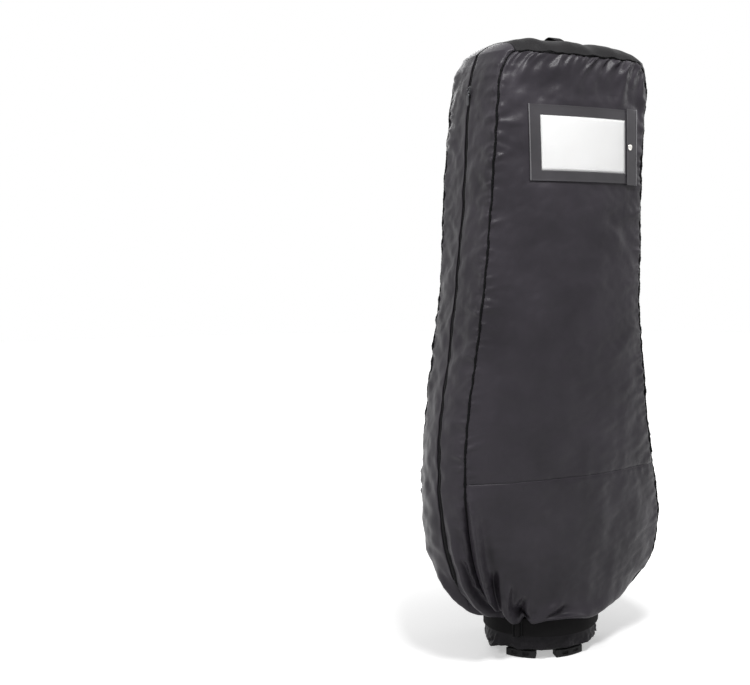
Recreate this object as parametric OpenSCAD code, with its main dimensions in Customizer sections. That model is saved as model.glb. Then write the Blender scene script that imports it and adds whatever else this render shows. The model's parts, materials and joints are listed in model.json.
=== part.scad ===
// Travel cover for a golf bag, fitted over the bag that it carries.
// The front (-Y) has the card pocket, -X has the zip, +X has the hand slot.
// Millimetres, +Z up, origin on the ground below the middle of the object.

/* [Cover] */
// Height of the seam between the walls and the domed top
top_seam_z = 1240; // [1236:1:1244]
// Rise of the domed top above its seam
dome_rise = 36; // [32:1:46]
// Height of the cross seam on the broad panels
cross_seam_z = 385; // [375:1:390]
// Thickness of the padded cover fabric
fabric = 2.5; // [2:0.1:3]
// Radius of the corded piping
piping_r = 3; // [2:0.1:3.5]

/* [Hand slot] */
// Lower end of the slot
slot_low_z = 430; // [425:1:435]
// Upper end of the slot
slot_high_z = 880; // [875:1:885]
// Reach of the slot towards the front at its widest
slot_reach_front = 20; // [16:1:24]
// Reach of the slot towards the back at its widest
slot_reach_rear = 38; // [30:1:42]
// Width of the webbing tabs that close the slot
slot_tab_w = 32; // [28:1:34]

/* [Zip] */
// Half width of the gap that the zip shows through
zip_gap = 8; // [7.5:0.1:9]
// Distance the zip runs on over the domed top
zip_over_top = 74; // [60:1:80]
// Height at which the slider is parked
slider_z = 1168; // [1160:1:1170]

/* [Card pocket] */
// Width of the pocket frame
pocket_w = 252; // [248:1:256]
// Height of the pocket frame
pocket_h = 150; // [146:1:156]
// Width of the clear window
window_w = 205; // [195:1:208]
// Height of the clear window
window_h = 110; // [106:1:114]
// Height of the pocket's middle above the ground
pocket_z = 1060; // [1050:1:1065]
// Distance of the pocket's middle towards the slot side
pocket_x = 23; // [18:1:24]

/* [Belt and webbing] */
// Width of the webbing belt
belt_w = 38; // [36:1:38]
// Lower edge of the belt
belt_low_z = 50; // [49:1:52]
// Width of the top loop's webbing
handle_w = 25; // [22:1:38]

/* [Golf bag] */
// Half width of the bag's oval top
bag_half_w = 165; // [160:1:166]
// Half depth of the bag's oval top
bag_half_d = 112; // [106:1:112]
// Radius of the bag's round foot
bag_foot_r = 112; // [108:1:112]
// Top of the bag's tube, below its cuff
bag_tube_top = 880; // [860:1:900]
// Height of the bag's cuff
cuff_h = 50; // [40:1:60]

/* [Hidden] */
$fn = 48;

// Faces of the cover, as steps of the way round it.
FRONT = 0;
SLOT = 1;
BACK = 2;
ZIP = 3;

wall_foot_z = 90;
seam_foot_z = 137;

// Shape of the cover at chosen heights. The walls run between four seams, and each wall swells
// outwards between its seams. Columns after the height: zip x, hand slot x, depth of the broad
// walls, x and y of the seams beside the zip, x and y of the seams beside the slot, and how far
// the zip is set towards the front.
ZIP_X = 1;
SLOT_X = 2;
FACE_Y = 3;
ZIP_SEAM_X = 4;
ZIP_SEAM_Y = 5;
SLOT_SEAM_X = 6;
SLOT_SEAM_Y = 7;
ZIP_FORWARD = 8;
// The slider's stretch of the zip is straight, and leans in towards the top.
function zip_line(z) = 205 - 0.086 * (z - 735);
profile = [
    [wall_foot_z, 124, 124, 121, 106, 59, 106, 59, 14],
    [100, 163, 184, 119, 129, 62, 160, 60, 19],
    [115, 192, 216, 119, 157, 66, 199, 62, 26],
    [seam_foot_z, 216, 241, 120, 181, 74, 226, 66, 33],
    [160, 231, 256, 124, 195, 80, 246, 72, 39],
    [197, 249, 269, 130, 212, 87, 256, 77, 43],
    [257, 265, 279, 136, 226, 92, 261, 83, 43],
    [317, 269, 277, 140, 234, 93, 253, 88, 39],
    [377, 264, 266, 142, 237, 92, 234, 96, 31],
    [447, 257, 250, 143, 236, 90, 214, 108, 21],
    [527, 242, 231, 144, 229, 90, 200, 115, 9],
    [627, 221, 209, 145, 212, 90, 189, 114, 0],
    [735, zip_line(735), 194, 145, 195, 90, 179, 112, 0],
    [1030, zip_line(1030), 202, 136, 171, 99, 186, 112, 0],
    [1130, zip_line(1130), 213, 131, 164, 98, 196, 112, 0],
    [1205, zip_line(1205), 220, 125, 154, 93, 203, 108, 0],
    [1218, 158, 221, 124, 149, 91, 204, 106, 0],
    [top_seam_z, 148, 214, 118, 137, 88, 195, 101, 0]
];
columns = [for (c = [0:8]) [for (row = profile) [row[0], row[c]]]];

// Value of one column at height z, smoothed over a short stretch of height.
function smooth_reach(z) = min(25, max(2, (z - wall_foot_z) / 4));
function at(column, z) =
    let (d = smooth_reach(z), c = columns[column])
    (lookup(z - d, c) + 2 * lookup(z, c) + lookup(z + d, c)) / 4;

function lerp(a, b, t) = a + (b - a) * t;
function unit(v) = v / norm(v);
function swell(t, power) = 1 - pow(abs(2 * t - 1), power);

// Point on the cover's outer surface: u runs from 0 to 4 round the cover, a whole number at
// each seam, starting at the seam between the zip side and the front.
function section(u, z) =
    let (
        v = u - 4 * floor(u / 4),
        face = floor(v),
        t = v - face,
        zx = at(ZIP_SEAM_X, z),
        zy = at(ZIP_SEAM_Y, z),
        sx = at(SLOT_SEAM_X, z),
        sy = at(SLOT_SEAM_Y, z),
        broad = at(FACE_Y, z) - (zy + sy) / 2
    )
    face == FRONT ? [lerp(-zx, sx, t), -lerp(zy, sy, t) - broad * swell(t, 2.2)] :
    face == SLOT ? [sx + (at(SLOT_X, z) - sx) * swell(t, 2), lerp(-sy, sy, t)] :
    face == BACK ? [lerp(sx, -zx, t), lerp(sy, zy, t) + broad * swell(t, 2.2)] :
    [-zx - (at(ZIP_X, z) - zx) * swell(t, 2), lerp(zy, -zy, t)];

// Outward direction at that point, level.
function outward(u, z) =
    let (along = section(u + 0.02, z) - section(u - 0.02, z))
    unit([along.y, -along.x]);

// Point set off from the outer surface, outwards where proud is positive.
function skin(u, z, proud = 0) =
    let (p = section(u, z) + outward(u, z) * proud) [p.x, p.y, z];

// The way round to a point of the zip side or the slot side that lies at y.
function zip_u(y, z) = ZIP + 0.5 - y / (2 * at(ZIP_SEAM_Y, z));
function slot_u(y, z) = SLOT + 0.5 + y / (2 * at(SLOT_SEAM_Y, z));
function zip_y(z) = -at(ZIP_FORWARD, z);

// The way along the front to a point at x.
function front_u(x, z) =
    (x + at(ZIP_SEAM_X, z)) / (at(SLOT_SEAM_X, z) + at(ZIP_SEAM_X, z));

lower_heights = [wall_foot_z, 100, 115, seam_foot_z, 160, 190, 225, 265, 305, 345, cross_seam_z];
upper_heights = concat([cross_seam_z], [for (z = [400:30:top_seam_z - 15]) z], [top_seam_z]);
gusset_heights = concat([for (z = lower_heights) if (z < cross_seam_z) z], upper_heights);

// ---- Closed thin solids from two matching grids of points ----

// Grids are lists of columns of points. A closed grid joins its last column to its first.
module shell(outer, inner, closed = false) {
    n = len(outer);
    m = len(outer[0]);
    inner_start = n * m;
    spans = closed ? n : n - 1;
    function at_index(i, j) = (i % n) * m + j;
    skins = [for (i = [0:spans - 1]) for (j = [0:m - 2])
        let (a = at_index(i, j), b = at_index(i, j + 1),
             c = at_index(i + 1, j + 1), d = at_index(i + 1, j))
        each [[a, b, c], [a, c, d],
              [inner_start + c, inner_start + b, inner_start + a],
              [inner_start + d, inner_start + c, inner_start + a]]];
    rims = [for (i = [0:spans - 1]) for (top = [false, true])
        let (j = top ? m - 1 : 0, a = at_index(i, j), b = at_index(i + 1, j),
             p = top ? b : a, q = top ? a : b)
        each [[p, q, inner_start + q], [p, inner_start + q, inner_start + p]]];
    sides = closed ? [] : [for (j = [0:m - 2]) for (last = [false, true])
        let (i = last ? n - 1 : 0, a = at_index(i, j), b = at_index(i, j + 1),
             p = last ? a : b, q = last ? b : a)
        each [[p, q, inner_start + q], [p, inner_start + q, inner_start + p]]];
    polyhedron(concat([for (col = outer) each col], [for (col = inner) each col]),
               concat(skins, rims, sides), convexity = 6);
}

// Stretch of the cover's wall from edge_a(z) to edge_b(z) round it, between two depths.
module wall(heights, edge_a, edge_b, steps, proud = 0, deep = -fabric) {
    function grid(depth) = [for (i = [0:steps]) [for (z = heights)
        skin(lerp(edge_a(z), edge_b(z), i / steps), z, depth)]];
    shell(grid(proud), grid(deep));
}

// Band right round the cover's foot.
module foot_band(heights, proud, deep, steps = 56) {
    function grid(depth) = [for (i = [0:steps - 1]) [for (z = heights)
        skin(4 * i / steps, z, depth)]];
    shell(grid(proud), grid(deep), closed = true);
}

// Tube with flat ends along a list of points.
module tube(points, radius, sides = 6, spin = 0) {
    last = len(points) - 1;
    function heading(k) = unit(points[min(k + 1, last)] - points[max(k - 1, 0)]);
    function ring(k) =
        let (h = heading(k), helper = abs(h.y) > 0.8 ? [1, 0, 0] : [0, 1, 0],
             across = unit(cross(h, helper)), up = cross(h, across))
        [for (s = [0:sides - 1])
            points[k] + radius * (across * cos(360 * s / sides + spin)
                                  + up * sin(360 * s / sides + spin))];
    walls = [for (k = [0:last - 1]) for (s = [0:sides - 1])
        let (a = k * sides + s, b = k * sides + (s + 1) % sides,
             c = b + sides, d = a + sides)
        each [[a, b, c], [a, c, d]]];
    ends = [for (s = [1:sides - 2]) each [
        [0, s + 1, s],
        [last * sides, last * sides + s, last * sides + s + 1]]];
    polyhedron([for (k = [0:last]) each ring(k)], concat(walls, ends), convexity = 6);
}

// Flat strip along a path of [point, outward, sideways] frames, between two offsets sideways
// and two offsets outwards.
module ribbon(path, side_a, side_b, proud, deep) {
    function line(side, depth) = [for (f = path) f[0] + f[2] * side + f[1] * depth];
    shell([line(side_a, proud), line(side_b, proud)], [line(side_a, deep), line(side_b, deep)]);
}

// ---- Cover ----

module front_panel() {
    color([0.25, 0.24, 0.26])
        wall(upper_heights, function (z) FRONT, function (z) FRONT + 1, 16);
}

module front_lower_panel() {
    color([0.21, 0.20, 0.22])
        wall(lower_heights, function (z) FRONT, function (z) FRONT + 1, 16);
}

module back_panel() {
    color([0.25, 0.24, 0.26])
        wall(upper_heights, function (z) BACK, function (z) BACK + 1, 16);
}

module back_lower_panel() {
    color([0.21, 0.20, 0.22])
        wall(lower_heights, function (z) BACK, function (z) BACK + 1, 16);
}

module zip_side_front() {
    color([0.27, 0.26, 0.29])
        wall(gusset_heights, function (z) zip_u(zip_y(z) - zip_gap, z), function (z) ZIP + 1, 5);
}

module zip_side_rear() {
    color([0.27, 0.26, 0.29])
        wall(gusset_heights, function (z) ZIP, function (z) zip_u(zip_y(z) + zip_gap, z), 5);
}

// The hand slot is a long lens, closed at both ends. Each lip stands this far from its middle.
function slot_open(z) =
    z <= slot_low_z || z >= slot_high_z ? 0 :
    pow(sin(180 * (z - slot_low_z) / (slot_high_z - slot_low_z)), 0.8);
function front_lip_y(z) = -slot_reach_front * slot_open(z);
function rear_lip_y(z) = slot_reach_rear * slot_open(z);

module slot_side_front() {
    color([0.31, 0.30, 0.33])
        wall(gusset_heights, function (z) SLOT, function (z) slot_u(front_lip_y(z), z), 5);
}

module slot_side_rear() {
    color([0.31, 0.30, 0.33])
        wall(gusset_heights, function (z) slot_u(rear_lip_y(z), z), function (z) SLOT + 1, 5);
}

// Domed top: rings of the top seam's outline, shrinking to the crown. The cover leans a little,
// so its top is not right over the origin.
dome_power = 5;
top_x = (at(SLOT_X, top_seam_z) - at(ZIP_X, top_seam_z)) / 2;
function dome_z(s, rise) = top_seam_z + rise * (1 - pow(s, dome_power));

module dome_shell() {
    rings = [1, 0.985, 0.96, 0.92, 0.87, 0.8, 0.7, 0.55, 0.35];
    around = 48;
    count = len(rings);
    function ring(s, depth, rise) = [for (i = [0:around - 1])
        let (p = skin(4 * i / around, top_seam_z, depth))
        [lerp(top_x, p.x, s), p.y * s, dome_z(s, rise)]];
    outer = [for (s = rings) each ring(s, 0, dome_rise)];
    inner = [for (s = rings) each ring(s, -fabric, dome_rise - fabric)];
    inner_start = count * around;
    crown_out = 2 * inner_start;
    crown_in = crown_out + 1;
    function id(k, i) = k * around + i % around;
    walls = [for (k = [0:count - 2]) for (i = [0:around - 1])
        let (a = id(k, i), b = id(k + 1, i), c = id(k + 1, i + 1), d = id(k, i + 1),
             e = inner_start)
        each [[a, b, c], [a, c, d], [e + c, e + b, e + a], [e + d, e + c, e + a]]];
    caps = [for (i = [0:around - 1])
        let (a = id(count - 1, i), b = id(count - 1, i + 1), e = inner_start,
             p = id(0, i), q = id(0, i + 1))
        each [[a, crown_out, b], [e + b, crown_in, e + a],
              [p, q, e + q], [p, e + q, e + p]]];
    polyhedron(concat(outer, inner, [[top_x, 0, top_seam_z + dome_rise],
                                      [top_x, 0, top_seam_z + dome_rise - fabric]]),
               concat(walls, caps), convexity = 6);
}

// The sides run on over the shoulders, and the dark top lies between them.
top_zip_x = -at(ZIP_X, top_seam_z);
shoulder_x = 152;
module dome_part(x_a, x_b) {
    difference() {
        intersection() {
            dome_shell();
            translate([x_a, -200, top_seam_z - 10]) cube([x_b - x_a, 400, dome_rise + 20]);
        }
        translate([top_zip_x - 10, -zip_gap, top_seam_z - 10])
            cube([zip_over_top + 10, 2 * zip_gap, dome_rise + 20]);
    }
}
module top_panel() {
    color([0.12, 0.12, 0.13]) dome_part(top_x - shoulder_x, top_x + shoulder_x);
}
module zip_side_top() {
    color([0.27, 0.26, 0.29]) dome_part(-250, top_x - shoulder_x);
}
module slot_side_top() {
    color([0.31, 0.30, 0.33]) dome_part(top_x + shoulder_x, 250);
}

belt_high_z = belt_low_z + belt_w;
skirt_heights = [20, 30, 40, belt_low_z, 70, belt_high_z, wall_foot_z];
module hem_skirt() {
    color([0.12, 0.12, 0.13])
        foot_band(skirt_heights, 0, -fabric, 56);
}

// ---- Piping: one cord up one long seam of a broad wall, over its top and down the other ----

piping_heights = [for (z = gusset_heights) if (z >= 115 && z < top_seam_z - 25) z];
piping_set = 1.4;
corner_turn = [[0.015, -8], [0.055, 1]];
module wall_piping(face) {
    n = len(piping_heights);
    function seam_point(u, z) = skin(face + u, z, piping_set);
    rise = [for (z = piping_heights) seam_point(0, z)];
    turn_in = [for (c = corner_turn) seam_point(c[0], top_seam_z + c[1])];
    over = [for (u = [0.13:0.0925:0.88]) seam_point(u, top_seam_z + 1)];
    turn_out = [for (c = [corner_turn[1], corner_turn[0]]) seam_point(1 - c[0], top_seam_z + c[1])];
    fall = [for (k = [n - 1:-1:0]) seam_point(1, piping_heights[k])];
    color([0.05, 0.05, 0.05]) tube(concat(rise, turn_in, over, turn_out, fall), piping_r);
}
module front_piping() wall_piping(FRONT);
module back_piping() wall_piping(BACK);

// ---- Hand slot ----

binding_w = 16;
slot_heights = [for (z = gusset_heights) if (z >= slot_low_z && z <= slot_high_z) z];

module slot_binding_front() {
    color([0.07, 0.07, 0.08])
        wall(slot_heights, function (z) slot_u(front_lip_y(z) - binding_w, z),
             function (z) slot_u(front_lip_y(z), z), 2, 1.3, 0.1);
}

module slot_binding_rear() {
    color([0.07, 0.07, 0.08])
        wall(slot_heights, function (z) slot_u(rear_lip_y(z), z),
             function (z) slot_u(rear_lip_y(z) + binding_w, z), 2, 1.3, 0.1);
}

tab_margin = 6;
tab_lap = 8;
module slot_tab(low_z) {
    color([0.2, 0.2, 0.21])
        wall([low_z, low_z + slot_tab_w / 2, low_z + slot_tab_w],
             function (z) slot_u(tab_margin - at(SLOT_SEAM_Y, z), z),
             function (z) slot_u(at(SLOT_SEAM_Y, z) - tab_margin, z), 10, 3.2, 1.6);
}
module slot_tab_upper() slot_tab(slot_high_z - tab_lap);
module slot_tab_lower() slot_tab(slot_low_z + tab_lap - slot_tab_w);

// ---- Zip ----

// Route of the zip: up the wall and on over the domed top, as [point, outward, sideways].
zip_heights = [for (z = gusset_heights) if (z >= seam_foot_z) z];
top_zip_steps = [0.985, 0.96, 0.92, 0.87, 0.8, 0.7, 1 + zip_over_top / (top_zip_x - top_x)];
function wall_frame(z) =
    let (u = zip_u(zip_y(z), z), n = outward(u, z))
    [skin(u, z), [n.x, n.y, 0], [-n.y, n.x, 0]];
function dome_frame(s) =
    let (e = 0.01,
         run = [2 * e * (top_x - top_zip_x), 0,
                dome_z(s - e, dome_rise) - dome_z(s + e, dome_rise)],
         n = unit([-run.z, 0, run.x]))
    [[lerp(top_x, top_zip_x, s), 0, dome_z(s, dome_rise)], n, [0, -1, 0]];
zip_route = concat([for (z = zip_heights) wall_frame(z)], [for (s = top_zip_steps) dome_frame(s)]);

tape_proud = -3.3;
tape_deep = -4.3;
coil_gap = 0.6;
coil_w = 3.2;
coil_proud = -1;

module zip_tape_front() {
    color([0.1, 0.1, 0.1]) ribbon(zip_route, coil_gap, 15, tape_proud, tape_deep);
}
module zip_tape_rear() {
    color([0.1, 0.1, 0.1]) ribbon(zip_route, -15, -coil_gap, tape_proud, tape_deep);
}
module zip_coil() {
    color([0.04, 0.04, 0.04]) {
        ribbon(zip_route, coil_gap, coil_w, coil_proud, tape_proud);
        ribbon(zip_route, -coil_w, -coil_gap, coil_proud, tape_proud);
    }
}

stop_l = 5;
module zip_stop(frame) {
    color([0.1, 0.1, 0.1])
        translate(frame[0] + frame[1] * (coil_proud + 0.8)) children();
}
module zip_stop_top() {
    last = zip_route[len(zip_route) - 1];
    zip_stop(last) translate([-stop_l / 2 - 1, 0, -0.5]) cube([stop_l, 7, 1.6], center = true);
}
module zip_stop_bottom() {
    first = zip_route[0];
    lean = atan2(first[1].y, first[1].x);
    zip_stop(first) rotate([0, 0, lean]) translate([-0.5, 0, 2.5])
        cube([1.6, 7, stop_l], center = true);
}

// The slider stands on the straight stretch of the zip, with its own axes: +Z up the zip and
// -X outwards.
zip_lean = atan((at(ZIP_X, 760) - at(ZIP_X, slider_z)) / (slider_z - 760));
slider_l = 20;
slider_w = 12;
plate = 2;
lug_out = 5.4;
pin_r = 1.2;
eye_r = 2.8;
eye_hole_r = 1.24;

module at_slider() {
    translate([-at(ZIP_X, slider_z), 0, slider_z]) rotate([0, zip_lean, 0]) children();
}

module zip_slider() {
    outer_low = coil_proud + 0.5;
    inner_top = tape_deep - 0.5;
    color([0.55, 0.55, 0.57]) at_slider() {
        translate([-outer_low - plate, -slider_w / 2, -slider_l / 2])
            cube([plate, slider_w, slider_l]);
        translate([-inner_top, -slider_w / 2, -slider_l / 2])
            cube([plate, slider_w, slider_l]);
        translate([-outer_low - 0.5, -0.35, slider_l / 2 - 6])
            cube([outer_low - inner_top + 1, 0.7, 6]);
        for (side = [-1, 1])
            translate([-lug_out - 1.6, side * 3 - 0.7, -2.4])
                cube([lug_out + 1.6 - outer_low - 1, 1.4, 4.8]);
        translate([-lug_out, 0, 0]) rotate([90, 0, 0]) cylinder(r = pin_r, h = 7.4, center = true);
    }
}

pull_pivot = [-at(ZIP_X, slider_z) - lug_out * cos(zip_lean), 0,
              slider_z + lug_out * sin(zip_lean)];
pull_l = 30;
pull_w = 9;
module zip_pull() {
    eye_w = 4;
    color([0.5, 0.5, 0.52]) translate(pull_pivot)
        difference() {
            union() {
                rotate([90, 0, 0]) cylinder(r = eye_r, h = eye_w, center = true);
                translate([-0.9, -eye_w / 2, -9]) cube([1.8, eye_w, 8]);
                translate([-0.9, -pull_w / 2, -pull_l]) cube([1.8, pull_w, pull_l - 8]);
            }
            rotate([90, 0, 0]) cylinder(r = eye_hole_r, h = eye_w + 2, center = true);
            translate([-2, 0, -pull_l + 6]) rotate([0, 90, 0]) cylinder(r = 2, h = 4);
        }
}

// ---- Card pocket ----

// Point on the front, set off from its surface.
function front_skin(x, z, proud) = skin(front_u(x, z), z, proud);

module front_patch(x_a, x_b, z_a, z_b, proud, deep, steps) {
    function grid(depth) = [for (i = [0:steps]) [for (j = [0:3])
        front_skin(lerp(x_a, x_b, i / steps), lerp(z_a, z_b, j / 3), depth)]];
    shell(grid(proud), grid(deep));
}

// Points round a rectangle, anticlockwise as seen from outside.
function rectangle_loop(half_w, half_h, n = 10) = concat(
    [for (k = [0:n - 1]) [lerp(-half_w, half_w, k / n), -half_h]],
    [for (k = [0:2]) [half_w, lerp(-half_h, half_h, k / 3)]],
    [for (k = [0:n - 1]) [lerp(half_w, -half_w, k / n), half_h]],
    [for (k = [0:2]) [-half_w, lerp(half_h, -half_h, k / 3)]]);

frame_proud = 2.2;
frame_deep = 0.8;
module id_frame() {
    hole = rectangle_loop(window_w / 2, window_h / 2);
    edge = rectangle_loop(pocket_w / 2, pocket_h / 2);
    function grid(depth) = [for (k = [0:len(hole) - 1]) [
        front_skin(pocket_x + edge[k].x, pocket_z + edge[k].y, depth),
        front_skin(pocket_x + hole[k].x, pocket_z + hole[k].y, depth)]];
    color([0.13, 0.13, 0.14]) shell(grid(frame_proud), grid(frame_deep), closed = true);
}

window_proud = 2.1;
module id_window() {
    color([0.8, 0.85, 0.9, 0.3])
        front_patch(pocket_x - window_w / 2, pocket_x + window_w / 2,
                    pocket_z - window_h / 2, pocket_z + window_h / 2,
                    window_proud, window_proud - 0.5, 10);
}

card_margin = 1;
card_proud = 1.3;
module id_card() {
    color([0.95, 0.95, 0.94])
        front_patch(pocket_x - window_w / 2 + card_margin, pocket_x + window_w / 2 - card_margin,
                    pocket_z - window_h / 2 + card_margin, pocket_z + window_h / 2 - card_margin,
                    card_proud, card_proud - 0.5, 10);
}

// Flap that closes the pocket's open end. It bends at its edge beside the slot side.
flap_inner_x = pocket_x + 104;
flap_outer_x = pocket_x + 127;
flap_h = 156;
flap_proud = 5;
flap_deep = 3.8;
module id_flap() {
    color([0.12, 0.12, 0.13])
        front_patch(flap_inner_x, flap_outer_x, pocket_z - flap_h / 2, pocket_z + flap_h / 2,
                    flap_proud, flap_deep, 3);
}

// Strip that the flap bends from. The flap's edge stands clear of it.
module id_flap_base() {
    color([0.12, 0.12, 0.13])
        front_patch(flap_outer_x + 0.4, flap_outer_x + 6, pocket_z - flap_h / 2,
                    pocket_z + flap_h / 2, flap_proud, frame_deep, 1);
}

snap_x = pocket_x + 113;
module at_snap(proud) {
    p = front_skin(snap_x, pocket_z, proud);
    n = outward(front_u(snap_x, pocket_z), pocket_z);
    translate(p) rotate([90, 0, atan2(n.y, n.x) + 90]) children();
}
module id_snap_stud() {
    color([0.8, 0.8, 0.8]) at_snap(frame_proud - 0.3) cylinder(r = 4.5, h = 1.5);
}
module id_snap_cap() {
    color([0.9, 0.9, 0.9]) at_snap(flap_proud) {
        cylinder(r = 6.2, h = 1);
        translate([0, 0, 1]) cylinder(r = 5, h = 0.8);
    }
}

// ---- Top handle, belt and buckle ----

handle_reach = 36;
handle_lift = 11;
function handle_frame(y) =
    let (arch = handle_lift * pow(cos(90 * y / handle_reach), 2),
         depth = at(FACE_Y, top_seam_z))
    [[top_x, y, dome_z(abs(y) / depth, dome_rise) + arch], [0, 0, 1], [-1, 0, 0]];
module top_handle() {
    color([0.16, 0.16, 0.17])
        ribbon([for (y = [-handle_reach:4:handle_reach]) handle_frame(y)],
               -handle_w / 2, handle_w / 2, 2.6, 0.15);
}

belt_heights = [belt_low_z, 70, belt_high_z];
belt_proud = 2.8;
belt_deep = 0.3;
module base_belt() {
    color([0.09, 0.09, 0.1]) foot_band(belt_heights, belt_proud, belt_deep, 56);
}

// The belt's free end lies on the belt from the buckle, round the zip side, to the back.
buckle_u = 4.035;
tail_end_u = 2.42;
module belt_tail() {
    color([0.09, 0.09, 0.1])
        wall(belt_heights, function (z) tail_end_u, function (z) buckle_u, 24,
             belt_proud + 2.4, belt_proud + 0.5);
}

buckle_h = 44;
buckle_l = 26;
buckle_t = 4;
module belt_buckle() {
    mid_z = belt_low_z + belt_w / 2;
    p = skin(buckle_u, mid_z, belt_proud + 2.7);
    n = outward(buckle_u, mid_z);
    slot_l = 6;
    color([0.06, 0.06, 0.06])
        translate(p) rotate([90, 0, atan2(n.y, n.x) + 90])
            difference() {
                translate([-buckle_l / 2, -buckle_h / 2, 0]) cube([buckle_l, buckle_h, buckle_t]);
                for (side = [-1, 1])
                    translate([side * 6 - slot_l / 2, -belt_w / 2 - 0.5, -1])
                        cube([slot_l, belt_w + 1, buckle_t + 2]);
            }
}

// ---- Golf bag ----

base_floor_z = 16;
base_top_z = 60;
foot_angles = [10, 78, 150, 215, 272];
module bag_base() {
    color([0.07, 0.07, 0.07])
        difference() {
            translate([0, 0, base_floor_z]) cylinder(r = bag_foot_r, h = base_top_z - base_floor_z,
                                                     $fn = 72);
            translate([0, 0, base_floor_z + 5]) cylinder(r = bag_foot_r - 4, h = base_top_z,
                                                         $fn = 72);
        }
}

foot_w = 68;
foot_depth = 26;
module bag_foot() {
    difference() {
        intersection() {
            translate([bag_foot_r - foot_depth, -foot_w / 2, 0])
                cube([foot_depth + 10, foot_w, base_floor_z]);
            cylinder(r = bag_foot_r + 1, h = base_floor_z, $fn = 72);
        }
        for (side = [-1, 1])
            translate([bag_foot_r - 7, side * 13 - 7, 5]) cube([20, 14, 7]);
    }
}
module bag_feet() {
    color([0.09, 0.09, 0.09]) for (a = foot_angles) rotate([0, 0, a]) bag_foot();
}

// The bag's tube: round at its foot, oval from the handle up.
function bag_w(z) = lookup(z, [[105, bag_foot_r], [160, 124], [320, 150], [600, bag_half_w],
                               [bag_tube_top, bag_half_w]]);
function bag_d(z) = lookup(z, [[base_top_z, bag_foot_r], [bag_tube_top, bag_half_d]]);
function bag_skin(a, z, proud = 0) =
    [(bag_w(z) + proud) * cos(a), (bag_d(z) + proud) * sin(a), z];

module bag_band(heights, proud, deep, steps = 40) {
    function grid(depth) = [for (i = [0:steps - 1]) [for (z = heights)
        bag_skin(360 * i / steps, z, depth)]];
    shell(grid(proud), grid(deep), closed = true);
}

bag_heights = [base_top_z, 110, 160, 240, 320, 460, 600, 740, bag_tube_top];
module bag_tube() {
    color([0.14, 0.15, 0.15]) bag_band(bag_heights, 0, -3);
}

cuff_top_z = bag_tube_top + cuff_h;
module bag_cuff() {
    color([0.06, 0.06, 0.06]) bag_band([bag_tube_top, cuff_top_z], 3, -6);
}

module bag_divider() {
    bar = 8;
    color([0.08, 0.08, 0.08]) translate([0, 0, bag_tube_top + 12]) {
        translate([-bag_half_w + 5.5, -bar / 2, 0]) cube([2 * bag_half_w - 11, bar, 26]);
        for (x = [-55, 55])
            translate([x - bar / 2, -bag_half_d + 12, 0]) cube([bar, 2 * bag_half_d - 24, 26]);
    }
}

// Side pocket: swells from the tube towards the cover, and closes on the tube all round.
pocket_low_z = 150;
pocket_high_z = 610;
pocket_clear = 16;
module side_pocket(sign) {
    function reach(z) = at(sign > 0 ? SLOT_X : ZIP_X, z) - pocket_clear - bag_w(z);
    function bulge(i, k) = 0.5 + pow(sin(180 * (0.06 + 0.88 * i)) * sin(180 * (0.04 + 0.92 * k)), 0.45);
    function turn(i) = lerp(-38, 38, i) + (sign > 0 ? 0 : 180);
    function grid(full) = [for (i = [0:1/10:1.001]) [for (k = [0:1/12:1.001])
        let (z = lerp(pocket_low_z, pocket_high_z, k),
             out = full * reach(z) * bulge(i, k) / 1.5,
             p = bag_skin(turn(i), z))
        [p.x + sign * out, p.y, z]]];
    color([0.13, 0.14, 0.14]) shell(grid(1), grid(0));
}
module bag_pocket_zip_side() side_pocket(-1);
module bag_pocket_slot_side() side_pocket(1);

// Grab handle: a bow of webbing that stands out through the hand slot.
handle_mid_z = 706;
handle_bow = 36;
handle_half_h = 47;
handle_back = 7;
function bow_frame(a, shrink = 0) =
    let (rx = handle_bow - shrink, rz = handle_half_h - shrink)
    [[bag_half_w + 5 + rx * cos(a), handle_back, handle_mid_z + rz * sin(a)],
     unit([cos(a) / rx, 0, sin(a) / rz]), [0, 1, 0]];
bow_path = [for (a = [-90:15:90]) bow_frame(a)];

module bag_handle() {
    color([0.15, 0.17, 0.16]) ribbon(bow_path, -17, 17, 2, -2.5);
}
module bag_handle_strap() {
    color([0.05, 0.05, 0.05])
        ribbon([for (a = [-90:15:90]) bow_frame(a, 5)], -12, 12, 2, 0);
}
module bag_handle_piping() {
    color([0.65, 0.08, 0.08])
        for (side = [-1, 1])
            tube([for (f = bow_path) f[0] + [0, side * 17, 0]], 2.4, 8);
}
module bag_handle_anchors() {
    color([0.06, 0.06, 0.06])
        for (end = [-1, 1])
            translate([bag_half_w - 1, handle_back - 21,
                       handle_mid_z + end * (handle_half_h + 9) - 13])
                cube([6, 42, 26]);
}

front_panel();
front_lower_panel();
back_panel();
back_lower_panel();
zip_side_front();
zip_side_rear();
slot_side_front();
slot_side_rear();
top_panel();
zip_side_top();
slot_side_top();
hem_skirt();
front_piping();
back_piping();
slot_binding_front();
slot_binding_rear();
slot_tab_upper();
slot_tab_lower();
zip_tape_front();
zip_tape_rear();
zip_coil();
zip_stop_top();
zip_stop_bottom();
zip_slider();
zip_pull();
id_frame();
id_window();
id_card();
id_snap_stud();
id_flap_base();
id_flap();
id_snap_cap();
top_handle();
base_belt();
belt_tail();
belt_buckle();
bag_base();
bag_feet();
bag_tube();
bag_cuff();
bag_divider();
bag_pocket_zip_side();
bag_pocket_slot_side();
bag_handle();
bag_handle_strap();
bag_handle_piping();
bag_handle_anchors();
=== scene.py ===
import json
import math

import bmesh
import bpy
import numpy as np
from mathutils import Matrix, Vector


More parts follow.
